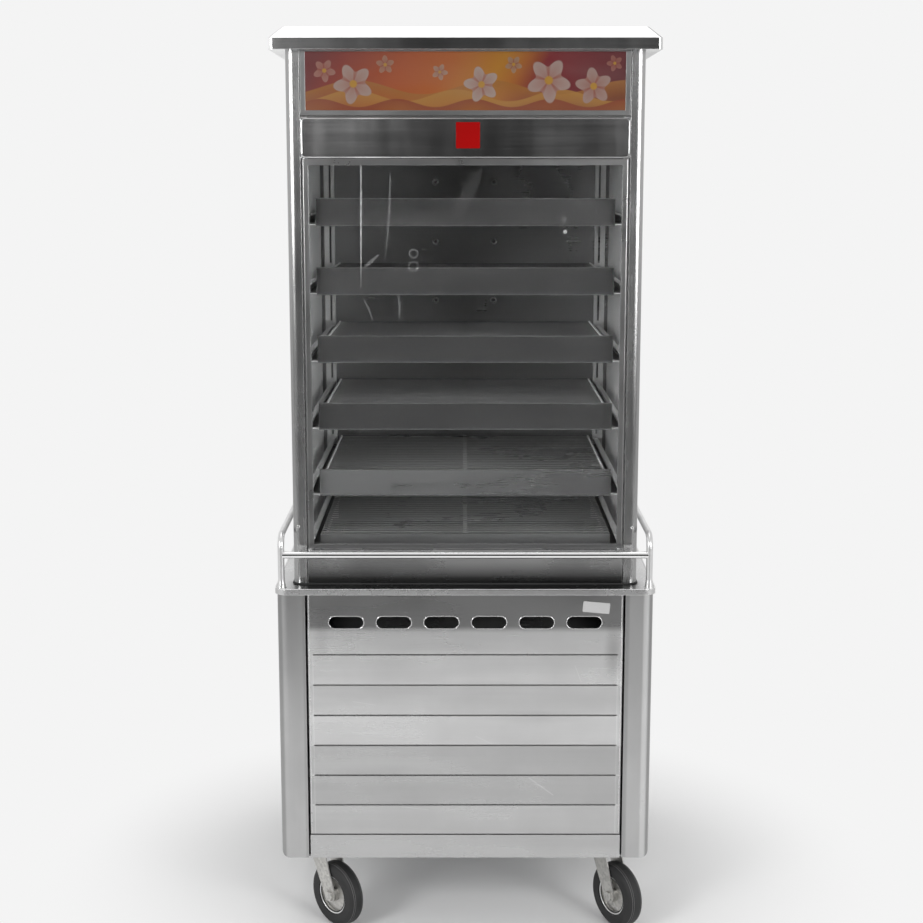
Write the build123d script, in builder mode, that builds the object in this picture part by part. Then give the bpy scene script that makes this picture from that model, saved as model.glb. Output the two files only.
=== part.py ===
# Bun steamer cabinet on casters: a glazed steam chamber with six sliding racks over a
# base that holds the water tank. Millimetres, +Z up, front towards -Y, +X to the right.
# The origin is on the floor under the middle of the cabinet.

import os
from math import cos, radians, sin

from build123d import *

os.makedirs("parts", exist_ok=True)

# Driving sizes of the whole cabinet
base_width = 700.0
base_depth = 700.0
base_bottom = 160.0  # from the floor to the casing's lower edge
deck_top = 687.0
chamber_width = 642.0
chamber_setback = 35.0  # how far the chamber stands in from the front and back of the base
chamber_depth = base_depth - 2 * chamber_setback
chamber_top = 1660.0
gauge = 1.5  # sheet metal
fold = 12.0  # returns folded inwards at the edge of a sheet
overrun = 5.0  # how far a cut runs past the face it opens
seat_gap = 0.3  # between a loose piece and what it rests on
panel_gap = 2.0  # between two sheet metal covers

# Base
base_corner = 20.0
foot_round = 12.0
casing_wrap = 52.5
groove = 3.5
foot_lip = 20.0
rail_height = 45.75
seam_height = 2.5
seam_depth = 3.0
seam_count = 6
slat_inset = 10.5
panel_round = 2.5
slot_band = 126.0  # from the deck down to the highest seam
slot_length = 65.0
slot_height = 23.0
slot_pitch = 88.5
slot_count = 6
slot_drop = 64.0  # from the deck to the slots' centre line
slot_collar = 1.2
slot_collar_depth = 5.0
floor_gauge = 3.0

# Deck and tank
deck_overhang = 4.0
deck_lip = 11.0
deck_corner = 24.0
tank_margin = 52.0  # from the chamber's wall to the tank's
tank_drop = 100.0
tank_flange = 17.0
tank_corner = 14.0
tank_clearance = 2.0

# Heating element
element_tube = 8.5
element_clearance = 0.25
element_height = 16.0  # above the tank's inner bottom
element_bend = 35.0
element_margin = 36.0
element_stub = 14.0
plate_height = 34.0
plate_margin = 14.0
plate_thickness = 4.0

# Drain
drain_tube = 21.0
drain_wall = 2.0
drain_inset = 63.0
drain_flange = 36.0
drain_clearance = 2.0
valve_body = 34.0
valve_height = 42.0
valve_drop = 6.0  # under the casing's lower edge
spout_radius = 10.0
spout_bore = 7.0
spout_length = 20.0
stem_radius = 4.0
stem_length = 9.0
stem_fit = 0.05
lever_length = 70.0
lever_width = 14.0
lever_thickness = 4.0
lever_drop = 10.0
lever_tip = 22.0

# Controls, in a recess of the rear panel
recess_width = 150.0
recess_height = 90.0
recess_depth = 30.0
recess_drop = 87.0  # from the deck to the recess's middle
recess_x = 150.0
recess_flange = 10.0
knob_radius = 17.0
knob_height = 16.0
knob_grip = 5.0
knob_taper = 4.0  # degrees
shaft_radius = 3.0
shaft_length = 16.0
shaft_fit = 0.05
thermostat_width = 36.0
thermostat_depth = 28.0

# Guard rail
guard_inset = 13.0  # from the deck's edge to the tube's centre line
guard_tube = 12.0
guard_rise = 105.0
guard_bend = 24.0
guard_bar_tube = 13.0
guard_bar_rise = 62.5
guard_foot = 8.5
guard_foot_height = 16.0

# Upper casing
casing_corner = 14.0
casing_return = 25.5
return_fold = 10.0
stop_depth = 12.0  # from the casing's front to the stops that the door closes against
stop_lap = 11.5
liner_gap = 8.0
rear_gap = 25.0
sign_space = 115.0  # above the chamber's ceiling

# Steam duct and nozzles
duct_width = 170.0
duct_gap = 4.0
duct_rise = 7.0
duct_head = 19.5
inlet_width = 120.0
inlet_height = 26.0
inlet_rise = 29.0
nozzle_x = 63.0
nozzle_rise = 25.0  # above the highest rack
nozzle_low_rise = 103.5  # above the deck
nozzle_radius = 5.0
nozzle_fit = 0.05
nozzle_bore = 3.5
nozzle_head = 7.0
nozzle_head_height = 3.0
nozzle_tail = 6.0

# Lower front panel
sill_rise = 65.0
sill_stop_rise = 11.0

# Header and sign
header_height = 71.0
header_proud = 4.0
header_round = 3.0
header_corner = 9.0
header_stop_drop = 10.0
sign_rail = 8.7
sign_depth = 72.0
sign_front = 1.0  # how far the sign stands back from the casing's front
sign_border = 9.0
sign_face = 3.0
sign_ledge = 3.5
sign_ledge_depth = 1.5
lamp_radius = 8.0
lamp_margin = 44.0
lamp_depth = 37.0
socket_width = 20.0
socket_height = 30.0

# Roof
roof_overhang = 26.0
roof_face = 20.0
roof_rise = 20.0
roof_slope = 22.0
roof_corner = 8.0
roof_lip = 47.0

# Door
door_gap = 2.5
door_foot_gap = 5.0
door_head_gap = 1.5
door_thickness = 10.0
stile = 11.0
door_foot = 6.5
door_round = 3.0
glass_thickness = 4.0
glass_bite = 5.0
glass_foot_bite = 3.5
pivot_inset = 3.0  # from the door's edge to the pivots' axis
pivot_radius = 2.0
pivot_fit = 0.05
pivot_reach = 10.0
collar_radius = 4.0
pivot_head = 2.5
pivot_head_radius = 2.8
gasket_inset = 2.5
gasket_width = 7.5
gasket_foot = 8.0
gasket_thickness = 1.7
catch_height = 40.0
catch_width = 8.0
catch_depth = 8.0
catch_rack = 4  # the catch sits in the space over this rack
catch_rise = 34.5

# Racks and the rails that carry them
rack_count = 6
rack_headroom = 144.5
last_rack_rise = 112.5  # above the deck
last_rack_step = 101.0  # the lowest rack sits closer to the one above
lip_height = 50.0
rack_gap = 12.0
rack_setback = 19.0
rack_rear_gap = 1.0
rack_hem = 8.0
rack_roll = 4.0
wire = 3.0
wire_pitch = 20.0
wire_drop = 21.0  # from the lip's top to the wires' top
grid_bar = 8.0
grid_bar_height = 8.0
weld_sink = 0.5
rail_drop = 31.0
rail_depth = 17.0
rail_top_flange = 10.5
rail_bottom_flange = 23.5
runner_flange = 18.0
post_depth = 39.5
post_width = 18.0
rear_post_lap = 12.5
rear_post_width = 22.0
rear_post_depth = 14.0
rear_post_slot = 4.0
rear_post_lip = 11.0

# Casters
caster_inset_x = 75.0
caster_inset_y = 85.0
caster_plate_length = 100.0
caster_plate_width = 85.0
caster_plate = 3.0
race_radius = 29.0
race_height = 9.0
race_gap = 0.3
crown_radius = 26.0
crown = 3.0
kingpin_radius = 5.0
kingpin_fit = 0.08
kingpin_head = 8.0
kingpin_head_height = 3.0
trail = 38.0
wheel_radius = 62.5
tyre_width = 32.0
tyre_round = 11.0
rim_radius = 38.0
rim_width = 26.0
rim_dish = 5.0
rim_ring = 4.0
hub_radius = 13.0
hub_width = 34.0
hub_fit = 0.08
tyre_fit = 0.05
axle_radius = 5.0
fork_gap = 36.0
fork_plate = 2.5
fork_top_width = 44.0
fork_foot_radius = 13.0
axle_head = 9.0
axle_head_height = 5.0

# Places in the base, worked out from the sizes above
base_front = -base_depth / 2
base_height = deck_top - gauge - base_bottom
floor_bottom = base_bottom + gauge
floor_top = floor_bottom + floor_gauge
panel_width = base_width - 2 * casing_wrap - 2 * groove
rail_top = base_bottom + rail_height
panel_bottom = rail_top + seam_height
panel_top = deck_top - gauge
seam_pitch = (deck_top - slot_band - rail_top - seam_height / 2) / seam_count
slat_width = panel_width - 2 * slat_inset
tank_width = min(chamber_width, chamber_depth) - 2 * tank_margin
tank_outer = tank_width + 2 * gauge
deck_hole = tank_outer + 2 * tank_clearance
tank_bottom = deck_top - tank_drop
drain_y = tank_width / 2 - drain_inset
valve_top = base_bottom - valve_drop
lever_y = drain_y - valve_body / 2 - stem_length
lever_z = valve_top - valve_height / 2
recess_z = deck_top - recess_drop
recess_back = base_depth / 2 - gauge - recess_depth
knob_back = recess_back + gauge + panel_gap
guard_x = base_width / 2 + deck_overhang - guard_inset
guard_y = base_depth / 2 + deck_overhang - guard_inset
guard_top = deck_top + guard_rise
guard_bar_z = deck_top + guard_bar_rise
caster_x = base_width / 2 - caster_inset_x
caster_y = base_depth / 2 - caster_inset_y

# Places in the upper cabinet
chamber_front = -chamber_depth / 2
opening_half = chamber_width / 2 - casing_return
stop_y = chamber_front + stop_depth
stop_back = stop_y + gauge
stop_inset = opening_half - stop_lap
liner_x = chamber_width / 2 - liner_gap
rear_wall_y = chamber_depth / 2 - rear_gap
ceiling_z = chamber_top - sign_space
sill_height = deck_top + sill_rise
sill_stop = sill_height + sill_stop_rise
header_top = ceiling_z - panel_gap
header_bottom = header_top - header_height
header_stop = header_bottom - header_stop_drop
sign_width = 2 * (opening_half - gauge)
sign_face_width = sign_width - 2 * sign_border
sign_bottom = ceiling_z + gauge + seat_gap
sign_face_bottom = sign_bottom + sign_rail
sign_top = chamber_top - seat_gap
lamp_length = sign_width - 2 * lamp_margin
lamp_y = chamber_front + lamp_depth
door_width = 2 * (opening_half - door_gap)
door_bottom = sill_height + door_foot_gap
door_top = header_bottom - door_head_gap
door_hinge_x = -door_width / 2 + pivot_inset
door_back = chamber_front + door_thickness
door_middle = chamber_front + door_thickness / 2

# Places of the racks, from the top down, and of what serves them
rack_top = ceiling_z - rack_headroom
last_rack_top = deck_top + last_rack_rise
rack_pitch = (rack_top - last_rack_top - last_rack_step) / (rack_count - 2)
rack_tops = [rack_top - rack_pitch * i for i in range(rack_count - 1)] + [last_rack_top]
rack_half = stop_inset - rack_gap
rail_web_x = liner_x - gauge - post_width
rail_back = rear_wall_y - rear_post_depth
rack_front = stop_y + rack_setback
rack_back = rail_back - rack_rear_gap
rail_front = rack_front + panel_gap
rear_post_inner = rail_web_x - rear_post_lap
rear_post_outer = rear_post_inner + rear_post_width
nozzle_top = rack_top + nozzle_rise
nozzle_pitch = (nozzle_top - deck_top - nozzle_low_rise) / (rack_count - 1)
duct_back = chamber_depth / 2 - duct_gap
duct_bottom = deck_top + duct_rise
duct_top = nozzle_top + duct_head
inlet_z = deck_top + inlet_rise
catch_z = rack_tops[catch_rack - 1] + catch_rise


def folded(plane, outline, length):
    """A sheet folded along the outline of its outer face, with the metal on its left."""
    with BuildPart() as sheet:
        with BuildSketch(plane):
            with BuildLine():
                Polyline(*outline)
                offset(amount=gauge, side=Side.LEFT, kind=Kind.INTERSECTION)
            make_face()
        extrude(amount=length)
    return sheet.part


def base_body(inset):
    """The base's outer body drawn in by inset: rounded in plan and along its lower sides."""
    width, depth = base_width - 2 * inset, base_depth - 2 * inset
    with BuildPart() as body:
        with BuildSketch(Plane.XY.offset(base_bottom + inset)):
            RectangleRounded(width, depth, base_corner - inset)
        extrude(amount=base_height)
        with BuildSketch(Plane.XZ.offset(-depth / 2)):
            with Locations((0, base_bottom + inset + base_height / 2)):
                Rectangle(width, base_height)
            fillet(vertices().group_by(Axis.Z)[0], foot_round - inset)
        extrude(amount=depth, mode=Mode.INTERSECT)
    return body.part


def roof_body(inset):
    """The roof's outer body drawn in by inset: upright edges under sloping shoulders."""
    width, depth, corner = roof_width - 2 * inset, roof_depth - 2 * inset, roof_corner - inset
    shoulder, crest = chamber_top + roof_face, chamber_top + roof_face + roof_rise - inset
    with BuildPart() as body:
        with BuildSketch(Plane.XY.offset(chamber_top + inset)):
            RectangleRounded(width, depth, corner)
        extrude(amount=roof_face - inset)
        with BuildSketch(Plane.XY.offset(shoulder)):
            RectangleRounded(width, depth, corner)
        with BuildSketch(Plane.XY.offset(crest)):
            RectangleRounded(width - 2 * roof_slope + 2 * inset, depth - 2 * roof_slope + 2 * inset, corner)
        loft()
    return body.part


def wire_grid(height):
    """The rods of one rack, six-sided, welded across a flat bar, with their tops at height."""
    with BuildPart() as grid:
        rods = [(wire_pitch * n, 0) for n in range(wire_count)]
        with BuildSketch(Plane.YZ.offset(-rack_half)):
            with Locations((rack_front + wire_pitch, height - wire / 2)):
                with Locations(*rods):
                    RegularPolygon(wire / 2, 6, major_radius=False)
        extrude(amount=2 * rack_half)
        block(-grid_bar / 2, grid_bar / 2, rack_front + rack_hem + seat_gap, rack_back - gauge - seat_gap,
              height - wire + weld_sink - grid_bar_height, height - wire + weld_sink)
    return grid.part


def block(x0, x1, y0, y1, z0, z1, mode=Mode.ADD):
    """A box between two corners."""
    with Locations(((x0 + x1) / 2, (y0 + y1) / 2, (z0 + z1) / 2)):
        Box(x1 - x0, y1 - y0, z1 - z0, mode=mode)


def save(piece, name):
    """Label a finished piece and write it to its own file."""
    piece.part.label = name
    export_step(piece.part, f"parts/{name}.step")


# Base casings: one on each side, wrapped round the front and rear corners
with BuildPart() as base_right_casing:
    add(base_body(0))
    add(base_body(gauge), mode=Mode.SUBTRACT)
    # the bottom is open inside the foot lip, and only this side's wrap is kept
    inner_edge = base_width / 2 - casing_wrap
    mouth = base_width / 2 - foot_lip
    block(-mouth, mouth, base_front + gauge, -base_front - gauge, base_bottom - overrun,
          base_bottom + foot_round, mode=Mode.SUBTRACT)
    block(inner_edge, base_width / 2, base_front, -base_front, base_bottom, panel_top,
          mode=Mode.INTERSECT)
    for end in (-1, 1):
        depths = sorted((end * (base_depth / 2 - gauge), end * (base_depth / 2 - gauge - fold)))
        block(inner_edge, inner_edge + gauge, *depths, floor_top, panel_top)
save(base_right_casing, "base_right_casing")

with BuildPart() as base_left_casing:
    mirror(base_right_casing.part, about=Plane.YZ)
save(base_left_casing, "base_left_casing")

# Base front panel: slats pressed into one sheet, with six stadium slots above them
with BuildPart() as base_front_panel:
    half = panel_width / 2
    back = base_front + gauge + fold
    add(folded(Plane.XY.offset(panel_bottom),
               [(-half, back), (-half, base_front), (half, base_front), (half, back)],
               panel_top - panel_bottom))
    block(-half, half, base_front + gauge, back, panel_top - gauge, panel_top)
    fillet(edges().filter_by(Axis.Z).group_by(Axis.Y)[0], panel_round)
    slots = [(slot_pitch * (i - (slot_count - 1) / 2), 0) for i in range(slot_count)]
    with BuildSketch(Plane.XZ.offset(-base_front - gauge)) as collars:
        with Locations((0, deck_top - slot_drop)):
            with Locations(*slots):
                SlotOverall(slot_length + 2 * slot_collar, slot_height + 2 * slot_collar)
    extrude(amount=-slot_collar_depth)
    with BuildSketch(Plane.XZ.offset(-base_front + overrun)) as openings:
        with Locations((0, deck_top - slot_drop)):
            with Locations(*slots):
                SlotOverall(slot_length, slot_height)
    extrude(amount=-(slot_collar_depth + gauge + 2 * overrun), mode=Mode.SUBTRACT)
    for i in range(seam_count):
        seam = rail_top + seam_height / 2 + seam_pitch * (i + 1)
        low, high = seam - seam_height / 2, seam + seam_height / 2
        block(-slat_width / 2 - gauge, slat_width / 2 + gauge, base_front + gauge,
              base_front + seam_depth + gauge, low - gauge, high + gauge)
        block(-slat_width / 2, slat_width / 2, base_front - overrun,
              base_front + seam_depth, low, high, mode=Mode.SUBTRACT)
save(base_front_panel, "base_front_panel")

# Base bottom rail: the channel under the slats, with the floor in its lower fold
with BuildPart() as base_bottom_rail:
    back = base_front + fold
    add(folded(Plane.YZ.offset(-panel_width / 2),
               [(back, rail_top), (base_front, rail_top), (base_front, base_bottom), (back, base_bottom)],
               panel_width))
save(base_bottom_rail, "base_bottom_rail")

# Base rear panel: a plain channel of sheet with the opening for the control recess
with BuildPart() as base_rear_panel:
    rear = -base_front
    back = rear - fold
    add(folded(Plane.YZ.offset(-panel_width / 2),
               [(back, base_bottom), (rear, base_bottom), (rear, panel_top), (back, panel_top)],
               panel_width))
    block(recess_x - recess_width / 2, recess_x + recess_width / 2, rear - gauge - overrun,
          rear + overrun, recess_z - recess_height / 2, recess_z + recess_height / 2,
          mode=Mode.SUBTRACT)
save(base_rear_panel, "base_rear_panel")

# Base floor: lies in the casings' lips, with the hole that the drain goes through
with BuildPart() as base_floor:
    half = base_width / 2 - foot_round
    reach = base_depth / 2 - gauge - panel_gap
    block(-half, half, -reach, reach, floor_bottom, floor_top)
    with Locations((0, drain_y, floor_bottom)):
        Cylinder(drain_tube / 2 + drain_clearance, 2 * floor_gauge + overrun, mode=Mode.SUBTRACT)
save(base_floor, "base_floor")

# Base deck: a shallow lid over the casings, open over the tank
with BuildPart() as base_deck:
    with BuildSketch(Plane.XY.offset(deck_top - deck_lip)):
        RectangleRounded(base_width + 2 * deck_overhang, base_depth + 2 * deck_overhang, deck_corner)
    extrude(amount=deck_lip)
    with BuildSketch(Plane.XY.offset(deck_top - deck_lip)):
        RectangleRounded(base_width + 2 * deck_overhang - 2 * gauge,
                         base_depth + 2 * deck_overhang - 2 * gauge, deck_corner - gauge)
    extrude(amount=deck_lip - gauge, mode=Mode.SUBTRACT)
    with BuildSketch(Plane.XY.offset(deck_top - deck_lip)):
        RectangleRounded(deck_hole, deck_hole, tank_corner + gauge + tank_clearance)
    extrude(amount=deck_lip + overrun, mode=Mode.SUBTRACT)
save(base_deck, "base_deck")

# Water tank: a deep pan that hangs in the deck by its flange
legs = [element_bend * (2 * i - 3) for i in range(4)]
element_z = tank_bottom + gauge + element_height
with BuildPart() as water_tank:
    with BuildSketch(Plane.XY.offset(tank_bottom)):
        RectangleRounded(tank_outer, tank_outer, tank_corner + gauge)
    extrude(amount=tank_drop)
    with BuildSketch(Plane.XY.offset(deck_top)):
        RectangleRounded(tank_outer + 2 * tank_flange, tank_outer + 2 * tank_flange,
                         tank_corner + gauge + tank_flange)
    extrude(amount=gauge)
    with BuildSketch(Plane.XY.offset(tank_bottom + gauge)):
        RectangleRounded(tank_width, tank_width, tank_corner)
    extrude(amount=tank_drop + overrun, mode=Mode.SUBTRACT)
    with BuildSketch(Plane.XZ.offset(-tank_outer / 2 - overrun)):
        with Locations((legs[0], element_z), (legs[-1], element_z)):
            Circle(element_tube / 2 + element_clearance)
    extrude(amount=gauge + 2 * overrun, mode=Mode.SUBTRACT)
    with Locations((0, drain_y, tank_bottom)):
        Cylinder(drain_tube / 2 - drain_wall, 2 * gauge + overrun, mode=Mode.SUBTRACT)
save(water_tank, "water_tank")

# Heating element: one tube bent into four legs, its ends sealed in a plate behind the tank
element_back = tank_outer / 2 + plate_thickness + element_stub
with BuildPart() as heating_element:
    near = tank_width / 2
    far = element_bend + element_margin - near
    with BuildLine() as route:
        Line((legs[0], element_back, element_z), (legs[0], far, element_z))
        ThreePointArc((legs[0], far, element_z), ((legs[0] + legs[1]) / 2, far - element_bend, element_z),
                      (legs[1], far, element_z))
        Line((legs[1], far, element_z), (legs[1], near - 2 * element_bend, element_z))
        ThreePointArc((legs[1], near - 2 * element_bend, element_z), (0, near - element_bend, element_z),
                      (legs[2], near - 2 * element_bend, element_z))
        Line((legs[2], near - 2 * element_bend, element_z), (legs[2], far, element_z))
        ThreePointArc((legs[2], far, element_z), ((legs[2] + legs[3]) / 2, far - element_bend, element_z),
                      (legs[3], far, element_z))
        Line((legs[3], far, element_z), (legs[3], element_back, element_z))
    with BuildSketch(Plane((legs[0], element_back, element_z), z_dir=(0, -1, 0))):
        Circle(element_tube / 2)
    sweep(path=route.wires()[0])
    block(legs[0] - plate_margin, legs[-1] + plate_margin, tank_outer / 2,
          tank_outer / 2 + plate_thickness, element_z - plate_height / 2,
          element_z + plate_height / 2)
save(heating_element, "heating_element")

# Drain pipe: from a flange under the tank down to the valve below the floor
with BuildPart() as drain_pipe:
    with BuildSketch(Plane.XY.offset(valve_top)):
        with Locations((0, drain_y)):
            Circle(drain_tube / 2)
    extrude(amount=tank_bottom - valve_top)
    with BuildSketch(Plane.XY.offset(tank_bottom - floor_gauge)):
        with Locations((0, drain_y)):
            Circle(drain_flange / 2)
    extrude(amount=floor_gauge)
    with BuildSketch(Plane.XY.offset(valve_top)):
        with Locations((0, drain_y)):
            Circle(drain_tube / 2 - drain_wall)
    extrude(amount=tank_bottom - valve_top, mode=Mode.SUBTRACT)
save(drain_pipe, "drain_pipe")

# Drain valve body: a hexagonal ball valve with a hose spout and a stem for its lever
with BuildPart() as drain_valve_body:
    with BuildSketch(Plane.XY.offset(valve_top - valve_height)):
        with Locations((0, drain_y)):
            RegularPolygon(valve_body / 2, 6, major_radius=False, rotation=30)
    extrude(amount=valve_height)
    with BuildSketch(Plane.XY.offset(valve_top - valve_height - spout_length)):
        with Locations((0, drain_y)):
            Circle(spout_radius)
    extrude(amount=spout_length)
    with BuildSketch(Plane.XY.offset(valve_top - valve_height - spout_length)):
        with Locations((0, drain_y)):
            Circle(spout_bore)
    extrude(amount=spout_length + valve_height / 4, mode=Mode.SUBTRACT)
    with BuildSketch(Plane.XZ.offset(-(drain_y - valve_body / 2))):
        with Locations((0, lever_z)):
            Circle(stem_radius)
    extrude(amount=stem_length)
save(drain_valve_body, "drain_valve_body")

# Drain lever: a cranked flat handle that turns on the valve's stem
with BuildPart() as drain_lever:
    front_y = lever_y
    back_y = lever_y + lever_thickness
    block(-lever_width / 2, lever_length - lever_tip, front_y, back_y,
          lever_z - lever_width / 2, lever_z + lever_width / 2)
    block(lever_length - lever_tip - lever_thickness, lever_length - lever_tip,
          front_y - lever_drop, back_y, lever_z - lever_width / 2, lever_z + lever_width / 2)
    block(lever_length - lever_tip - lever_thickness, lever_length, front_y - lever_drop,
          front_y - lever_drop + lever_thickness, lever_z - lever_width / 2,
          lever_z + lever_width / 2)
    fillet(edges().filter_by(Axis.Y).group_by(Axis.X)[0], lever_width / 4)
    with BuildSketch(Plane.XZ.offset(-back_y - overrun)):
        with Locations((0, lever_z)):
            Circle(stem_radius + stem_fit)
    extrude(amount=lever_thickness + 2 * overrun, mode=Mode.SUBTRACT)
save(drain_lever, "drain_lever")

# Control recess: a pan let into the rear panel, so that nothing stands out behind
with BuildPart() as control_pan:
    reach = recess_width / 2 + recess_flange
    rise = recess_height / 2 + recess_flange
    rear = base_depth / 2 - gauge
    block(recess_x - reach, recess_x + reach, rear - gauge, rear, recess_z - rise, recess_z + rise)
    block(recess_x - recess_width / 2, recess_x + recess_width / 2, recess_back, rear,
          recess_z - recess_height / 2, recess_z + recess_height / 2)
    block(recess_x - recess_width / 2 + gauge, recess_x + recess_width / 2 - gauge,
          recess_back + gauge, rear + overrun, recess_z - recess_height / 2 + gauge,
          recess_z + recess_height / 2 - gauge, mode=Mode.SUBTRACT)
    with BuildSketch(Plane.XZ.offset(-recess_back + overrun)):
        with Locations((recess_x, recess_z)):
            Circle(shaft_radius + shaft_fit)
    extrude(amount=-(gauge + 2 * overrun), mode=Mode.SUBTRACT)
save(control_pan, "control_pan")

# Thermostat: the body behind the recess, with the shaft that carries the knob
with BuildPart() as thermostat_body:
    block(recess_x - thermostat_width / 2, recess_x + thermostat_width / 2,
          recess_back - thermostat_depth, recess_back, recess_z - thermostat_width / 2,
          recess_z + thermostat_width / 2)
    with BuildSketch(Plane.XZ.offset(-recess_back)):
        with Locations((recess_x, recess_z)):
            Circle(shaft_radius)
    extrude(amount=-shaft_length)
save(thermostat_body, "thermostat_body")

# Thermostat knob: a tapered round knob with a raised grip across it
with BuildPart() as thermostat_knob:
    with BuildSketch(Plane.XZ.offset(-knob_back)):
        with Locations((recess_x, recess_z)):
            Circle(knob_radius)
    extrude(amount=-(knob_height - knob_grip), taper=knob_taper)
    block(recess_x - knob_grip / 2, recess_x + knob_grip / 2, knob_back,
          knob_back + knob_height, recess_z - knob_radius + knob_grip / 2,
          recess_z + knob_radius - knob_grip / 2)
    with BuildSketch(Plane.XZ.offset(-knob_back + overrun)):
        with Locations((recess_x, recess_z)):
            Circle(shaft_radius + shaft_fit)
    shaft_end = recess_back + shaft_length + seat_gap
    extrude(amount=knob_back - overrun - shaft_end, mode=Mode.SUBTRACT)
save(thermostat_knob, "thermostat_knob")

# Guard rail: a bent hoop on each side and a lower bar across the front
with BuildPart() as guard_right_hoop:
    with BuildLine() as route:
        FilletPolyline((guard_x, -guard_y, deck_top), (guard_x, -guard_y, guard_top - guard_tube / 2),
                       (guard_x, guard_y, guard_top - guard_tube / 2), (guard_x, guard_y, deck_top),
                       radius=guard_bend)
    with BuildSketch(Plane((guard_x, -guard_y, deck_top), z_dir=(0, 0, 1))):
        Circle(guard_tube / 2)
    sweep(path=route.wires()[0])
    with Locations((guard_x, -guard_y, deck_top + guard_foot_height / 2),
                   (guard_x, guard_y, deck_top + guard_foot_height / 2)):
        Cone(guard_foot, guard_tube / 2, guard_foot_height)
save(guard_right_hoop, "guard_right_hoop")

with BuildPart() as guard_left_hoop:
    mirror(guard_right_hoop.part, about=Plane.YZ)
save(guard_left_hoop, "guard_left_hoop")

with BuildPart() as guard_front_bar:
    with BuildSketch(Plane.YZ.offset(-guard_x)):
        with Locations((-guard_y, guard_bar_z)):
            Circle(guard_bar_tube / 2)
    extrude(amount=2 * guard_x)
    # the ends are coped to the hoops' legs
    with Locations((-guard_x, -guard_y, guard_bar_z), (guard_x, -guard_y, guard_bar_z)):
        Cylinder(guard_tube / 2, guard_bar_tube + 2 * overrun, mode=Mode.SUBTRACT)
    keep_x = guard_x - guard_tube / 4
    block(-keep_x, keep_x, -guard_y - guard_bar_tube, -guard_y + guard_bar_tube,
          guard_bar_z - guard_bar_tube, guard_bar_z + guard_bar_tube, mode=Mode.INTERSECT)
save(guard_front_bar, "guard_front_bar")

# Upper casings: one on each side, with rounded corners and folded edges
with BuildPart() as upper_right_casing:
    with BuildSketch(Plane.XY.offset(deck_top)):
        RectangleRounded(chamber_width, chamber_depth, casing_corner)
        RectangleRounded(chamber_width - 2 * gauge, chamber_depth - 2 * gauge, casing_corner - gauge,
                         mode=Mode.SUBTRACT)
        with Locations((opening_half - chamber_width / 2, 0)):
            Rectangle(chamber_width, chamber_depth, mode=Mode.SUBTRACT)
        fold_y = chamber_depth / 2 - gauge - return_fold / 2
        with Locations((opening_half + gauge / 2, -fold_y), (opening_half + gauge / 2, fold_y)):
            Rectangle(gauge, return_fold)
    extrude(amount=chamber_top - deck_top)
save(upper_right_casing, "upper_right_casing")

with BuildPart() as upper_left_casing:
    mirror(upper_right_casing.part, about=Plane.YZ)
save(upper_left_casing, "upper_left_casing")

# Upper rear panel, between the casings
with BuildPart() as upper_rear_panel:
    half, rear = opening_half - panel_gap, chamber_depth / 2
    back = rear - gauge - return_fold
    add(folded(Plane.XY.offset(deck_top), [(half, back), (half, rear), (-half, rear), (-half, back)],
               chamber_top - deck_top))
save(upper_rear_panel, "upper_rear_panel")

# Side liners of the chamber, each folded into the stop that the door's stile closes against
with BuildPart() as side_liners:
    add(folded(Plane.XY.offset(deck_top),
               [(stop_inset, stop_y), (liner_x, stop_y), (liner_x, rear_wall_y + gauge)],
               ceiling_z - deck_top))
    mirror(about=Plane.YZ)
save(side_liners, "side_liners")

# Rear wall of the chamber, with the nozzles' holes and the inlet that lets steam into the duct
nozzle_rows = [nozzle_top - nozzle_pitch * i for i in range(rack_count)]
nozzle_places = [(x, z) for z in nozzle_rows for x in (-nozzle_x, nozzle_x)]
with BuildPart() as rear_wall:
    half = liner_x - gauge
    block(-half, half, rear_wall_y, rear_wall_y + gauge, deck_top, ceiling_z)
    with BuildSketch(Plane.XZ.offset(-rear_wall_y + overrun)):
        with Locations(*nozzle_places):
            Circle(nozzle_radius + nozzle_fit)
        with Locations((0, inlet_z)):
            SlotOverall(inlet_width, inlet_height)
    extrude(amount=-(gauge + 2 * overrun), mode=Mode.SUBTRACT)
save(rear_wall, "rear_wall")

# Steam duct: a closed channel behind the rear wall, from the inlet up to the highest nozzles
with BuildPart() as steam_duct:
    half = duct_width / 2
    duct_front = rear_wall_y + gauge
    add(folded(Plane.XY.offset(duct_bottom),
               [(half, duct_front), (half, duct_back), (-half, duct_back), (-half, duct_front)],
               duct_top - duct_bottom))
    for low in (duct_bottom, duct_top - gauge):
        block(-half, half, duct_front, duct_back, low, low + gauge)
save(steam_duct, "steam_duct")

# Steam nozzles: short headed tubes through the rear wall, a pair to each rack
with BuildPart() as steam_nozzles:
    with BuildSketch(Plane.XZ.offset(-rear_wall_y)):
        with Locations(*nozzle_places):
            Circle(nozzle_head)
    extrude(amount=nozzle_head_height)
    with BuildSketch(Plane.XZ.offset(-rear_wall_y)):
        with Locations(*nozzle_places):
            Circle(nozzle_radius)
    extrude(amount=-nozzle_tail)
    with BuildSketch(Plane.XZ.offset(-rear_wall_y + nozzle_head_height)):
        with Locations(*nozzle_places):
            Circle(nozzle_bore)
    extrude(amount=-(nozzle_head_height + nozzle_tail + overrun), mode=Mode.SUBTRACT)
save(steam_nozzles, "steam_nozzles")

# Chamber ceiling, folded down into the stop that the door's top rail closes against
with BuildPart() as chamber_ceiling:
    block(-liner_x, liner_x, stop_y, rear_wall_y + gauge, ceiling_z, ceiling_z + gauge)
    add(folded(Plane.YZ.offset(-stop_inset),
               [(rear_wall_y, ceiling_z + gauge), (stop_y, ceiling_z + gauge), (stop_y, header_stop)],
               2 * stop_inset))
save(chamber_ceiling, "chamber_ceiling")

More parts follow.
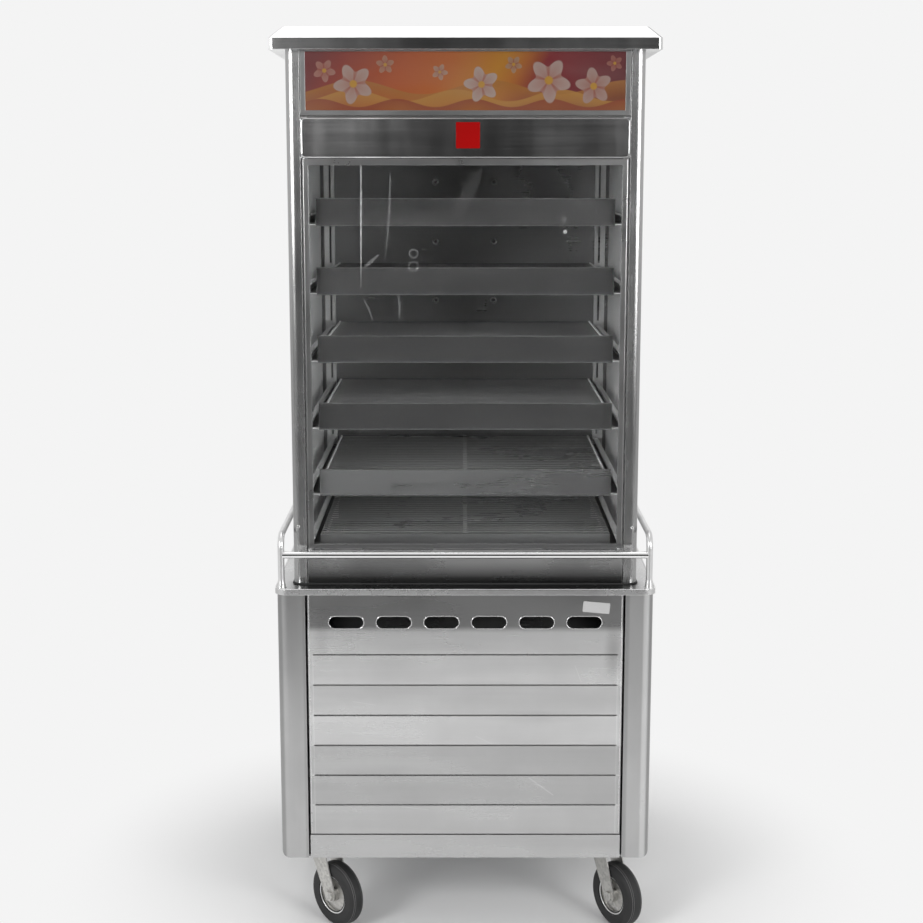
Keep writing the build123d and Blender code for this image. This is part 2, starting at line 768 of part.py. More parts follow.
# Lower front panel: closes the front under the door and carries the door's lower stop
with BuildPart() as lower_front_panel:
    half = opening_half - panel_gap
    add(folded(Plane.YZ.offset(-half),
               [(stop_y, sill_height), (chamber_front, sill_height), (chamber_front, deck_top),
                (chamber_front + fold, deck_top)], 2 * half))
    block(-stop_inset, stop_inset, stop_y, stop_back, sill_height - gauge, sill_stop)
save(lower_front_panel, "lower_front_panel")

# Header: the pan above the door, a little proud of the casing
with BuildPart() as header_fascia:
    half = opening_half - panel_gap / 2
    front = chamber_front - header_proud
    middle = (header_bottom + header_top) / 2
    block(-half, half, chamber_front, stop_y, header_bottom, header_top)
    with BuildSketch(Plane.XZ.offset(-chamber_front)):
        with Locations((0, middle)):
            RectangleRounded(2 * half, header_height, header_corner)
    extrude(amount=header_proud)
    fillet(faces().sort_by(Axis.Y)[0].edges(), header_round)
    with BuildSketch(Plane.XZ.offset(-front - gauge)):
        with Locations((0, middle)):
            RectangleRounded(2 * half - 2 * gauge, header_height - 2 * gauge, header_corner - gauge)
    extrude(amount=-header_proud, mode=Mode.SUBTRACT)
    block(-half + gauge, half - gauge, chamber_front + gauge, stop_y + overrun,
          header_bottom + gauge, header_top - gauge, mode=Mode.SUBTRACT)
    with Locations((door_hinge_x, door_middle, header_bottom)):
        Cylinder(pivot_radius + pivot_fit, 2 * gauge + overrun, mode=Mode.SUBTRACT)
save(header_fascia, "header_fascia")

# Sign box: a lamp housing whose front holds the sign's face in a rebate
with BuildPart() as sign_box:
    half = sign_width / 2
    front = chamber_front + sign_front
    wall = sign_face + sign_ledge_depth
    block(-half, half, front, front + sign_depth, sign_bottom, sign_top)
    block(-half + gauge, half - gauge, front + wall, front + sign_depth - gauge,
          sign_bottom + gauge, sign_top - gauge, mode=Mode.SUBTRACT)
    face_half = sign_face_width / 2
    block(-face_half, face_half, front - overrun, front + sign_face, sign_face_bottom,
          sign_top - gauge, mode=Mode.SUBTRACT)
    block(-face_half + sign_ledge, face_half - sign_ledge, front - overrun, front + wall + gauge,
          sign_face_bottom + sign_ledge, sign_top - gauge - sign_ledge, mode=Mode.SUBTRACT)
save(sign_box, "sign_box")

# Sign face: a translucent sheet that the lamp shines through
with BuildPart() as sign_panel:
    front = chamber_front + sign_front
    face_half = sign_face_width / 2 - seat_gap
    block(-face_half, face_half, front, front + sign_face - seat_gap,
          sign_face_bottom + seat_gap, sign_top - gauge - seat_gap)
save(sign_panel, "sign_panel")

# Sign lamp: a tube between two end sockets
with BuildPart() as sign_lamp:
    lamp_z = (sign_face_bottom + sign_top) / 2
    with BuildSketch(Plane.YZ.offset(-lamp_length / 2)):
        with Locations((lamp_y, lamp_z)):
            Circle(lamp_radius)
    extrude(amount=lamp_length)
    for side in (-1, 1):
        outer = sign_width / 2 - gauge - seat_gap
        ends = sorted((side * (outer - socket_width), side * outer))
        block(*ends, lamp_y - socket_height / 2, lamp_y + socket_height / 2,
              lamp_z - socket_height / 2, lamp_z + socket_height / 2)
        stubs = sorted((side * lamp_length / 2, side * (outer - socket_width)))
        block(*stubs, lamp_y - lamp_radius / 2, lamp_y + lamp_radius / 2,
              lamp_z - lamp_radius / 2, lamp_z + lamp_radius / 2)
save(sign_lamp, "sign_lamp")

# Roof cap: a pan turned upside down, with sloping shoulders and a flat top
roof_width = chamber_width + 2 * roof_overhang
roof_depth = chamber_depth + 2 * roof_overhang
with BuildPart() as roof_cap:
    add(roof_body(0))
    add(roof_body(gauge), mode=Mode.SUBTRACT)
    with BuildSketch(Plane.XY.offset(chamber_top)):
        Rectangle(roof_width - 2 * roof_lip, roof_depth - 2 * roof_lip)
    extrude(amount=gauge + overrun, mode=Mode.SUBTRACT)
save(roof_cap, "roof_cap")

# Door frame: grooved stiles and rails round the glass, bored for the two pivots
door_front = chamber_front
glass_front = door_middle - glass_thickness / 2
glass_back = door_middle + glass_thickness / 2
glass_half = door_width / 2 - stile + glass_bite - seat_gap
glass_top = door_top - stile + glass_bite - seat_gap
glass_bottom = door_bottom + door_foot - glass_foot_bite + seat_gap
with BuildPart() as door_frame:
    half = door_width / 2
    block(-half, half, door_front, door_back, door_bottom, door_top)
    upright = edges().filter_by(Axis.Z)
    fillet(upright, door_round)
    block(-half + stile, half - stile, door_front - overrun, door_back + overrun,
          door_bottom + door_foot, door_top - stile, mode=Mode.SUBTRACT)
    block(-glass_half - seat_gap, glass_half + seat_gap, glass_front - seat_gap,
          glass_back + seat_gap, glass_bottom - seat_gap, glass_top + seat_gap,
          mode=Mode.SUBTRACT)
    for z in (door_bottom, door_top):
        with Locations((door_hinge_x, door_middle, z)):
            Cylinder(pivot_radius + pivot_fit, 2 * pivot_reach + 2 * seat_gap, mode=Mode.SUBTRACT)
save(door_frame, "door_frame")

with BuildPart() as door_glass:
    block(-glass_half, glass_half, glass_front, glass_back, glass_bottom, glass_top)
save(door_glass, "door_glass")

# Door pivots: a collared pin on the sill and a headed pin through the header
with BuildPart() as door_pivots:
    collar_top = door_bottom - seat_gap
    low_pin = door_bottom + pivot_reach - sill_height
    high_bottom = door_top - pivot_reach
    head_bottom = header_bottom + gauge
    high_pin = head_bottom + pivot_head - high_bottom
    with Locations((door_hinge_x, door_middle, (sill_height + collar_top) / 2)):
        Cylinder(collar_radius, collar_top - sill_height)
    with Locations((door_hinge_x, door_middle, sill_height + low_pin / 2)):
        Cylinder(pivot_radius, low_pin)
    with Locations((door_hinge_x, door_middle, high_bottom + high_pin / 2)):
        Cylinder(pivot_radius, high_pin)
    with Locations((door_hinge_x, door_middle, head_bottom + pivot_head / 2)):
        Cylinder(pivot_head_radius, pivot_head)
save(door_pivots, "door_pivots")

# Door gasket: a flat rubber frame on the stops
with BuildPart() as door_gasket:
    outer = opening_half - gasket_inset
    low = sill_height + panel_gap
    high = door_top
    block(-outer, outer, stop_y - gasket_thickness, stop_y, low, high)
    block(-outer + gasket_width, outer - gasket_width, stop_y - gasket_thickness - overrun,
          stop_y + overrun, low + gasket_foot, high - gasket_width, mode=Mode.SUBTRACT)
save(door_gasket, "door_gasket")

# Door catch: a magnet behind the stop, opposite the hinge
with BuildPart() as door_catch:
    block(stop_inset, stop_inset + catch_width, stop_back, stop_back + catch_depth,
          catch_z - catch_height / 2, catch_z + catch_height / 2)
save(door_catch, "door_catch")

# Ladder posts: plain channels at the front, slotted channels in the rear corners
with BuildPart() as ladder_posts:
    outer = liner_x - gauge
    inner = outer - post_width
    back = stop_back + post_depth
    add(folded(Plane.XY.offset(deck_top),
               [(outer, back), (inner, back), (inner, stop_back), (outer, stop_back)],
               ceiling_z - deck_top))
    add(folded(Plane.XY.offset(deck_top),
               [(rear_post_inner, rear_wall_y), (rear_post_inner, rail_back),
                (rear_post_outer, rail_back), (rear_post_outer, rear_wall_y)],
               ceiling_z - deck_top))
    # a slot runs up the rear post between the places of the rails
    slot_x = rear_post_outer - rear_post_lip
    stations = [deck_top] + [top - rail_drop for top in reversed(rack_tops)] + [ceiling_z]
    for low, high in zip(stations[:-1], stations[1:]):
        block(slot_x - rear_post_slot, slot_x, rail_back - overrun, rail_back + gauge + overrun,
              low + rail_depth / 2, high - rail_depth - rail_depth / 2, mode=Mode.SUBTRACT)
    mirror(about=Plane.YZ)
save(ladder_posts, "ladder_posts")

# Rack rails: channels lying on their sides between the posts, one pair to each rack
with BuildPart() as rack_rails:
    for top in rack_tops:
        high = top - rail_drop
        low = high - rail_depth
        add(folded(Plane.XZ.offset(-rail_front),
                   [(rail_web_x - rail_bottom_flange, low), (rail_web_x, low), (rail_web_x, high),
                    (rail_web_x - rail_top_flange, high)], rail_front - rail_back))
    mirror(about=Plane.YZ)
save(rack_rails, "rack_rails")

# Racks: a folded frame with a tall front lip, and a welded wire grid that lies in it
side_top = -wire_drop - wire - seat_gap
runner_low = -rail_drop - rail_depth + gauge + seat_gap
wire_count = int((rack_back - rack_front - 2 * wire_pitch) // wire_pitch) + 1
for number, top in enumerate(rack_tops, 1):
    # the lowest rack has no lip above its wires
    lip_top = top - wire_drop if number == rack_count else top
    lip_bottom = top - lip_height
    with BuildPart() as rack:
        add(folded(Plane.YZ.offset(-rack_half),
                   [(rack_front + rack_roll, lip_top), (rack_front, lip_top),
                    (rack_front, lip_bottom), (rack_front + rack_hem, lip_bottom)], 2 * rack_half))
        web = rack_half - gauge
        add(folded(Plane.XZ.offset(-rack_front - gauge),
                   [(web, top + side_top), (web, top + runner_low), (web + runner_flange, top + runner_low)],
                   rack_front + gauge - rack_back))
        mirror(about=Plane.YZ)
        block(-rack_half, rack_half, rack_back - gauge, rack_back, top + runner_low, top + side_top)
        add(wire_grid(top - wire_drop))
    save(rack, f"rack_{number}")

# Caster plates: four plates under the floor, each with its race and riveted kingpin
caster_places = [(-caster_x, -caster_y), (caster_x, -caster_y), (-caster_x, caster_y),
                 (caster_x, caster_y)]
race_bottom = floor_bottom - caster_plate - race_height
crown_top = race_bottom - race_gap
rivet_top = crown_top - crown - race_gap
with BuildPart() as caster_plates:
    with BuildSketch(Plane.XY.offset(floor_bottom - caster_plate)):
        with Locations(*caster_places):
            Rectangle(caster_plate_width, caster_plate_length)
    extrude(amount=caster_plate)
    for bottom, radius, height in ((race_bottom, race_radius, race_height),
                                   (rivet_top, kingpin_radius, race_bottom - rivet_top),
                                   (rivet_top - kingpin_head_height, kingpin_head, kingpin_head_height)):
        with BuildSketch(Plane.XY.offset(bottom)):
            with Locations(*caster_places):
                Circle(radius)
        extrude(amount=height)
save(caster_plates, "caster_plates")

# Casters: a swivelling fork with its axle bolt, a pressed rim and a solid rubber tyre
caster_names = ("front_left", "front_right", "rear_left", "rear_right")
caster_turns = (-45.0, -56.0, 35.0, 140.0)  # where each wheel trails, anticlockwise from +X
for (kx, ky), turn, name in zip(caster_places, caster_turns, caster_names):
    rolling = Vector(cos(radians(turn)), sin(radians(turn)), 0)
    across = Vector(-sin(radians(turn)), cos(radians(turn)), 0)
    hub_centre = Vector(kx, ky, wheel_radius) + rolling * trail
    wheel_plane = Plane(hub_centre, x_dir=rolling, z_dir=across)
    with BuildPart() as fork:
        with BuildSketch(Plane.XY.offset(crown_top - crown)):
            with Locations((kx, ky)):
                Circle(crown_radius)
                Circle(kingpin_radius + kingpin_fit, mode=Mode.SUBTRACT)
        extrude(amount=crown)
        for face in (-1, 1):
            inside = face * fork_gap / 2 if face > 0 else face * fork_gap / 2 - fork_plate
            with BuildSketch(wheel_plane.offset(inside)):
                up = crown_top - wheel_radius
                rear_edge = -trail - fork_top_width / 2
                front_edge = -trail + fork_top_width / 2
                foot = fork_foot_radius * cos(radians(30))
                with BuildLine():
                    Polyline((rear_edge, -up), (front_edge, -up), (foot, -foot),
                             (-foot, foot), (rear_edge, -up + crown), close=True)
                make_face()
                Circle(fork_foot_radius)
            extrude(amount=fork_plate)
        with BuildSketch(wheel_plane.offset(-fork_gap / 2 - fork_plate)):
            Circle(axle_radius)
        extrude(amount=fork_gap + 2 * fork_plate)
        for offset in (-fork_gap / 2 - fork_plate - axle_head_height, fork_gap / 2 + fork_plate):
            with BuildSketch(wheel_plane.offset(offset)):
                RegularPolygon(axle_head, 6, major_radius=False)
            extrude(amount=axle_head_height)
    save(fork, f"caster_{name}_fork")

    with BuildPart() as rim:
        with BuildSketch(wheel_plane.offset(-rim_width / 2)):
            Circle(rim_radius)
        extrude(amount=rim_width)
        for start, way in ((-rim_width / 2, 1), (rim_width / 2, -1)):
            with BuildSketch(wheel_plane.offset(start)):
                Circle(rim_radius - rim_ring)
            extrude(amount=way * rim_dish, mode=Mode.SUBTRACT)
        with BuildSketch(wheel_plane.offset(-hub_width / 2)):
            Circle(hub_radius)
        extrude(amount=hub_width)
        with BuildSketch(wheel_plane.offset(-hub_width / 2 - overrun)):
            Circle(axle_radius + hub_fit)
        extrude(amount=hub_width + 2 * overrun, mode=Mode.SUBTRACT)
    save(rim, f"caster_{name}_rim")

    with BuildPart() as tyre:
        with BuildSketch(wheel_plane.offset(-tyre_width / 2)):
            Circle(wheel_radius)
        extrude(amount=tyre_width)
        fillet(edges(), tyre_round)
        with BuildSketch(wheel_plane.offset(-tyre_width / 2 - overrun)):
            Circle(rim_radius + tyre_fit)
        extrude(amount=tyre_width + 2 * overrun, mode=Mode.SUBTRACT)
    save(tyre, f"caster_{name}_tyre")
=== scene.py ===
# %% [markdown]
# # A bun steamer cabinet
#
# A tall glazed steaming cabinet of stainless sheet: six sliding wire racks behind a glass door,
# a lit sign under a pan-shaped roof, and a wider base with a louvred front, a tubular guard rail
# and four casters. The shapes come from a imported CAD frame. This lesson gives every piece its
# finish, adds the thin trim that the frame leaves out, and lights it all like a small studio.

# %% Load the frame
import math

import bmesh
import bpy
from mathutils import Matrix, Vector


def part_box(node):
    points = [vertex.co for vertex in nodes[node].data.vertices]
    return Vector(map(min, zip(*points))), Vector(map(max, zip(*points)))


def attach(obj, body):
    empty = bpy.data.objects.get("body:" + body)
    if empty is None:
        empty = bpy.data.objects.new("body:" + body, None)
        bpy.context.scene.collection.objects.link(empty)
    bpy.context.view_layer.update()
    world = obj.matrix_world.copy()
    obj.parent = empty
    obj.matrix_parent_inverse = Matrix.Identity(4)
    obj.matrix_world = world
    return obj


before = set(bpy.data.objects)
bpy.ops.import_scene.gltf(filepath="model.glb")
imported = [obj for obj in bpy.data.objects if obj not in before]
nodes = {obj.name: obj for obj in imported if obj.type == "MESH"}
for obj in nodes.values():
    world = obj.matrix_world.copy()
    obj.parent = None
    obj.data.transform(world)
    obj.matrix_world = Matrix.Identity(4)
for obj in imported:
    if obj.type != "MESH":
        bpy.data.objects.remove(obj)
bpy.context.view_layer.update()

# %% [markdown]
# ## The camera
#
# The camera comes first, because the framing decides how large each detail shows. It stands
# 3.3 m away, a little above the sign's middle, and looks ten degrees down. A long lens from
# far off keeps the cabinet's uprights almost parallel, as a catalogue photographer would.

# %% Camera
camera_place = Vector((-0.007, -3.319, 1.4515))
camera_tilt = math.radians(79.98)
camera_lens = 64.4

camera_data = bpy.data.cameras.new("camera")
camera_data.lens = camera_lens
camera_data.sensor_width = 36
camera = bpy.data.objects.new("camera", camera_data)
camera.location = camera_place
camera.rotation_euler = (camera_tilt, 0, 0)
bpy.context.scene.collection.objects.link(camera)
bpy.context.scene.camera = camera
bpy.context.scene.view_settings.view_transform = "Standard"
print("camera", tuple(round(c, 3) for c in camera_place), camera_lens, "mm")

# %% [markdown]
# ## Small helpers for node trees
#
# A material in Blender is a tree of nodes. Writing each node by hand takes three lines, so a few
# helpers keep the lessons short. One feeds an input with a plain value or with another node's
# output, and one adds a node and feeds its inputs. A third makes a node group with named
# sockets, which is how an effect such as brushed grain is built once and then placed in many
# materials.


# %% Node helpers
def feed(tree, socket, value):
    """Links another node's output to an input, or sets the input to a plain value."""
    if isinstance(value, bpy.types.NodeSocket):
        tree.links.new(value, socket)
    else:
        socket.default_value = value


def add(tree, kind, settings=None, **inputs):
    """Adds a node; settings are its own properties, inputs its sockets, with _ for a space."""
    made = tree.nodes.new("ShaderNode" + kind)
    for key, value in (settings or {}).items():
        setattr(made, key, value)
    for key, value in inputs.items():
        which = int(key[1:]) if key[1:].isdigit() else key.replace("_", " ")
        feed(tree, made.inputs[which], value)
    return made


def group_of(name, takes, gives):
    """A new shader group with its named inputs and outputs, and its two end nodes."""
    tree = bpy.data.node_groups.new(name, "ShaderNodeTree")
    for label, kind, start in takes:
        socket = tree.interface.new_socket(label, in_out="INPUT", socket_type="NodeSocket" + kind)
        if start is not None:
            socket.default_value = start
    for label, kind in gives:
        tree.interface.new_socket(label, in_out="OUTPUT", socket_type="NodeSocket" + kind)
    return tree, tree.nodes.new("NodeGroupInput"), tree.nodes.new("NodeGroupOutput")


def place(tree, group, **inputs):
    """Puts a group into a material and fills in its sockets."""
    made = tree.nodes.new("ShaderNodeGroup")
    made.node_tree = group
    for key, value in inputs.items():
        feed(tree, made.inputs[key.replace("_", " ")], value)
    return made


def sum_of(tree, a, b, operation="ADD", clamp=False):
    """One Math node on two values or sockets."""
    return add(tree, "Math", {"operation": operation, "use_clamp": clamp}, _0=a, _1=b).outputs[0]


def blend(tree, share, first, second):
    """A colour between first and second."""
    mixed = add(tree, "Mix", {"data_type": "RGBA"})
    for index, value in ((0, share), (6, first), (7, second)):
        feed(tree, mixed.inputs[index], value)
    return mixed.outputs[2]


def grey(level, alpha=1.0):
    """A neutral colour."""
    return (level, level, level, alpha)


print("helpers ready")

# %% [markdown]
# ## Brushed grain
#
# Stainless sheet is polished by a belt that leaves fine parallel scratches. Noise that is
# squeezed across the scratches and stretched along them looks just like that. The group takes
# the stretch as a vector, so the same grain can run across a panel or up a post.

# %% Brushed grain group
grain_group, grain_in, grain_out = group_of(
    "brushed grain",
    [("Stretch", "Vector", (4, 4, 600)), ("Contrast", "Float", 0.6)],
    [("Grain", "Float")],
)
where = add(grain_group, "TexCoord").outputs["Object"]
squeezed = add(grain_group, "VectorMath", {"operation": "MULTIPLY"}, _0=where,
               _1=grain_in.outputs["Stretch"]).outputs[0]
scratches = add(grain_group, "TexNoise", Vector=squeezed, Scale=1.0, Detail=3.0, Roughness=0.6)
centred = sum_of(grain_group, scratches.outputs[0], 0.5, "SUBTRACT")
scaled = sum_of(grain_group, centred, grain_in.outputs["Contrast"], "MULTIPLY")
grain_group.links.new(sum_of(grain_group, scaled, 0.5, "ADD", True), grain_out.inputs["Grain"])
print("group", grain_group.name)

# %% [markdown]
# ## Handling marks
#
# Steel that is wiped every day is never even. Cloth leaves cloudy streaks, and hands leave
# duller patches. Two noises do this: a broad cloud for the patches and a finer one, stretched
# sideways, for the strokes of the cloth. The result is a mask that a material uses to
# shift its roughness and to darken its colour a little. A second output is the broad cloud
# alone, smooth enough to warp a sheet.

# %% Handling marks group
marks_group, marks_in, marks_out = group_of(
    "handling marks",
    [("Size", "Float", 4.0), ("Strokes", "Vector", (3, 3, 14)), ("Seed", "Float", 0.0)],
    [("Mask", "Float"), ("Cloud", "Float")],
)
where = add(marks_group, "TexCoord").outputs["Object"]
clouds = add(marks_group, "TexNoise", {"noise_dimensions": "4D"}, Vector=where,
             W=marks_in.outputs["Seed"], Scale=marks_in.outputs["Size"], Detail=4.0, Roughness=0.6)
stroked = add(marks_group, "VectorMath", {"operation": "MULTIPLY"}, _0=where,
              _1=marks_in.outputs["Strokes"]).outputs[0]
strokes = add(marks_group, "TexNoise", {"noise_dimensions": "4D"}, Vector=stroked,
              W=marks_in.outputs["Seed"], Scale=1.0, Detail=3.0, Roughness=0.55, Distortion=0.6)
both = sum_of(marks_group, sum_of(marks_group, clouds.outputs[0], strokes.outputs[0]), 0.5, "MULTIPLY")
spread = add(marks_group, "MapRange", {"interpolation_type": "SMOOTHSTEP"}, Value=both, _1=0.3, _2=0.7)
marks_group.links.new(spread.outputs[0], marks_out.inputs["Mask"])
broad = add(marks_group, "TexNoise", {"noise_dimensions": "4D"}, Vector=where,
            W=marks_in.outputs["Seed"], Scale=marks_in.outputs["Size"], Detail=1.0, Roughness=0.4)
marks_group.links.new(broad.outputs[0], marks_out.inputs["Cloud"])
print("group", marks_group.name)

# %% [markdown]
# ## Edge wear and glint
#
# Folded and cut edges catch the light first and wear brightest. A Bevel node rounds the
# normal near an edge. Where that rounded normal leaves the true one, there is an edge, and
# the difference is the mask. Zinc and rubber use it for wear, while the steels use it for a
# painted highlight that lightens their colour along each fold. The group also gives the
# rounded normal itself, because a fold in sheet metal has a small radius, and that is what
# draws a thin line of light along it.

# %% Edge wear and glint group
edge_group, edge_in, edge_out = group_of(
    "edge wear and glint", [("Width", "Float", 0.0014)], [("Edge", "Float"), ("Rounded", "Vector")])
rounded = add(edge_group, "Bevel", {"samples": 4}, Radius=edge_in.outputs["Width"])
true_normal = add(edge_group, "NewGeometry").outputs["Normal"]
likeness = add(edge_group, "VectorMath", {"operation": "DOT_PRODUCT"}, _0=rounded.outputs[0],
               _1=true_normal).outputs["Value"]
wear_and_glint_mask = add(edge_group, "MapRange", Value=likeness, _1=0.995, _2=0.85)
edge_group.links.new(wear_and_glint_mask.outputs[0], edge_out.inputs["Edge"])
edge_group.links.new(rounded.outputs[0], edge_out.inputs["Rounded"])
print("group", edge_group.name)

# %% [markdown]
# ## Settled dust
#
# Dust lies on what faces up. The group reads the surface's own normal and breaks the dust up
# with noise, so that it is never an even film.

# %% Settled dust group
dust_group, dust_in, dust_out = group_of("settled dust", [("Amount", "Float", 0.3)], [("Mask", "Float")])
normal_parts = add(dust_group, "SeparateXYZ", _0=add(dust_group, "NewGeometry").outputs["Normal"])
upward = add(dust_group, "MapRange", Value=normal_parts.outputs["Z"], _1=0.6, _2=1.0)
specks = add(dust_group, "TexNoise", Vector=add(dust_group, "TexCoord").outputs["Object"],
             Scale=60.0, Detail=6.0, Roughness=0.7)
broken = add(dust_group, "MapRange", Value=specks.outputs[0], _1=0.35, _2=0.7)
lying = sum_of(dust_group, upward.outputs[0], broken.outputs[0], "MULTIPLY")
dust_group.links.new(sum_of(dust_group, lying, dust_in.outputs["Amount"], "MULTIPLY"),
                     dust_out.inputs["Mask"])
print("group", dust_group.name)

# %% [markdown]
# ## Drawn lines
#
# Some marks sit at one spot, such as a scratch where a tray slipped, painted shade in a seam
# and a painted highlight along a fold. A line between two points draws them on the front
# faces. It measures how far each spot of the surface lies from the line and fades out at its
# rim, so that it never looks cut out.

# %% Drawn streak group
streak_group, streak_in, streak_out = group_of(
    "drawn streak",
    [("From", "Vector", (0, 0, 0)), ("To", "Vector", (0, 0, 1)), ("Width", "Float", 0.001)],
    [("Mask", "Float")],
)
where = add(streak_group, "TexCoord").outputs["Object"]
offset = add(streak_group, "VectorMath", {"operation": "SUBTRACT"}, _0=where, _1=streak_in.outputs["From"])
offset = add(streak_group, "VectorMath", {"operation": "MULTIPLY"}, _0=offset.outputs[0], _1=(1, 0, 1))
line = add(streak_group, "VectorMath", {"operation": "SUBTRACT"}, _0=streak_in.outputs["To"],
           _1=streak_in.outputs["From"])
line = add(streak_group, "VectorMath", {"operation": "MULTIPLY"}, _0=line.outputs[0], _1=(1, 0, 1))
travelled = add(streak_group, "VectorMath", {"operation": "DOT_PRODUCT"}, _0=offset.outputs[0],
                _1=line.outputs[0]).outputs["Value"]
whole = add(streak_group, "VectorMath", {"operation": "DOT_PRODUCT"}, _0=line.outputs[0],
            _1=line.outputs[0]).outputs["Value"]
share = sum_of(streak_group, travelled, whole, "DIVIDE", True)
nearest = add(streak_group, "VectorMath", {"operation": "SCALE"}, _0=line.outputs[0], _3=share)
away = add(streak_group, "VectorMath", {"operation": "SUBTRACT"}, _0=offset.outputs[0], _1=nearest.outputs[0])
reach = add(streak_group, "VectorMath", {"operation": "LENGTH"}, _0=away.outputs[0]).outputs["Value"]
mask = add(streak_group, "MapRange", {"interpolation_type": "SMOOTHSTEP"}, Value=reach, _1=0.0,
           _2=streak_in.outputs["Width"], _3=1.0, _4=0.0)
streak_group.links.new(mask.outputs[0], streak_out.inputs["Mask"])
print("group", streak_group.name)

# %% [markdown]
# ## Soft ovals
#
# Patches of painted shade and painted light have no sharp rim either. An oval with a centre,
# two radii and a softness draws one. With one radius far larger than the cabinet, the same
# oval is a band.

# %% Soft oval group
oval_group, oval_in, oval_out = group_of(
    "soft oval",
    [("Centre", "Vector", (0, 0, 0)), ("Radii", "Vector", (0.05, 1, 0.03)), ("Softness", "Float", 0.1)],
    [("Mask", "Float")],
)
where = add(oval_group, "TexCoord").outputs["Object"]
moved = add(oval_group, "VectorMath", {"operation": "SUBTRACT"}, _0=where, _1=oval_in.outputs["Centre"])
shared = add(oval_group, "VectorMath", {"operation": "DIVIDE"}, _0=moved.outputs[0],
             _1=oval_in.outputs["Radii"])
flat = add(oval_group, "VectorMath", {"operation": "MULTIPLY"}, _0=shared.outputs[0], _1=(1, 0, 1))
reach = add(oval_group, "VectorMath", {"operation": "LENGTH"}, _0=flat.outputs[0]).outputs["Value"]
inner = sum_of(oval_group, 1.0, oval_in.outputs["Softness"], "SUBTRACT")
mask = add(oval_group, "MapRange", {"interpolation_type": "SMOOTHSTEP"}, Value=reach, _1=inner, _2=1.0,
           _3=1.0, _4=0.0)
oval_group.links.new(mask.outputs[0], oval_out.inputs["Mask"])
print("group", oval_group.name)

# %% [markdown]
# ## Stainless steel
#
# One function makes every stainless finish of the cabinet from these groups. Metal has no
# colour of its own apart from what it mirrors, so the differences are in roughness, in the
# direction of the grain and in how far the marks go. A sheet is never quite flat either: a
# broad, shallow bump lets its reflections drift in soft clouds. Inside the chamber, steam has
# left a dull skin on the steel, which the metal share takes care of. On the liners and posts a
# very low metal share and a light tone make a lighter copy of the steel, painted light for
# what their brushed grain scatters.


# %% Steel finishes
def material(name):
    """A new material, its tree and its Principled shader."""
    made = bpy.data.materials.new(name)
    made.use_nodes = True
    return made, made.node_tree, made.node_tree.nodes["Principled BSDF"]


def steel(name, tone, roughness, stretch, marks=0.3, seed=0.0, dust=0.0, strokes=(3, 3, 14), wave=0.0008,
          metal=1.0, glint=0.6):
    """Brushed stainless sheet: tone is its brightness, marks how far handling has dulled it."""
    made, tree, shader = material(name)
    grain = place(tree, grain_group, Stretch=stretch, Contrast=0.8).outputs["Grain"]
    handled = place(tree, marks_group, Size=5.0, Strokes=strokes, Seed=seed).outputs
    mask = handled["Mask"]
    fold = place(tree, edge_group).outputs
    dulled = blend(tree, sum_of(tree, mask, marks, "MULTIPLY"), grey(tone), grey(tone * 0.68))
    brushed = blend(tree, sum_of(tree, grain, 0.2, "MULTIPLY"), dulled, grey(tone * 0.7))
    # painted highlight: the Edge mask lightens the colour along each fold, by the share glint
    colour = blend(tree, sum_of(tree, fold["Edge"], glint, "MULTIPLY"), brushed, grey(min(1.0, tone * 1.5)))
    if dust:
        dusty = place(tree, dust_group, Amount=dust).outputs["Mask"]
        colour = blend(tree, dusty, colour, grey(0.55))
    rough = sum_of(tree, sum_of(tree, grain, 0.1, "MULTIPLY"), roughness - 0.05)
    rough = sum_of(tree, rough, sum_of(tree, mask, marks * 0.4, "MULTIPLY"), "ADD", True)
    warped = add(tree, "Bump", Strength=1.0, Distance=wave, Height=handled["Cloud"], Normal=fold["Rounded"])
    bump = add(tree, "Bump", Strength=0.05, Distance=0.0004, Height=grain, Normal=warped.outputs[0])
    sheen = add(tree, "MapRange", Value=fold["Edge"], _1=0.0, _2=1.0, _3=metal, _4=metal * 0.75)
    tree.links.new(colour, shader.inputs["Base Color"])
    tree.links.new(rough, shader.inputs["Roughness"])
    tree.links.new(bump.outputs[0], shader.inputs["Normal"])
    tree.links.new(sheen.outputs[0], shader.inputs["Metallic"])
    shader.inputs["Anisotropic"].default_value = 0.4
    return made


print("steel recipe ready")

# %% [markdown]
# ## The cabinet's steels
#
# Each kind of sheet gets its own call. The base is more worn than the header, the racks are
# smoother than the casings, and steam has dulled the liners and the posts. Their light tone
# makes the liners and posts a lighter copy of the chamber's steel, painted light for what
# their grain scatters. The stretch says which way the grain runs: across a front, or up a side.

# %% The cabinet's steels
across = (3, 3, 280)
upward_grain = (280, 280, 3)
satin = (50, 50, 50)
base_panel_steel = steel("base panel steel", 0.68, 0.22, across, 0.4, 1.0, strokes=(1.6, 3, 20), wave=0.0025)
base_rail_steel = steel("base rail steel", 0.56, 0.22, across, 0.4, 2.0, strokes=(1.6, 3, 20), wave=0.0025)
base_side_steel = steel("base side steel", 0.52, 0.24, upward_grain, 0.45, 4.0, strokes=(9, 9, 2.2))
upper_side_steel = steel("upper side steel", 0.58, 0.2, upward_grain, 0.3, 7.0, strokes=(12, 12, 1.5))
header_steel = steel("header steel", 0.46, 0.15, across, 0.3, 9.0, strokes=(12, 12, 1.2), wave=0.002)
lower_steel = steel("lower panel steel", 0.72, 0.18, across, 0.4, 10.0, strokes=(1.5, 2, 12))
trim_steel = steel("trim steel", 0.38, 0.26, satin, 0.25, 11.0, strokes=(6, 6, 6))
roof_steel = steel("roof steel", 0.66, 0.14, across, 0.25, 13.0, strokes=(10, 10, 2), wave=0.002)
chamber_steel = steel("chamber steel", 0.34, 0.24, across, 0.4, 17.0, strokes=(8, 8, 2), metal=0.86)
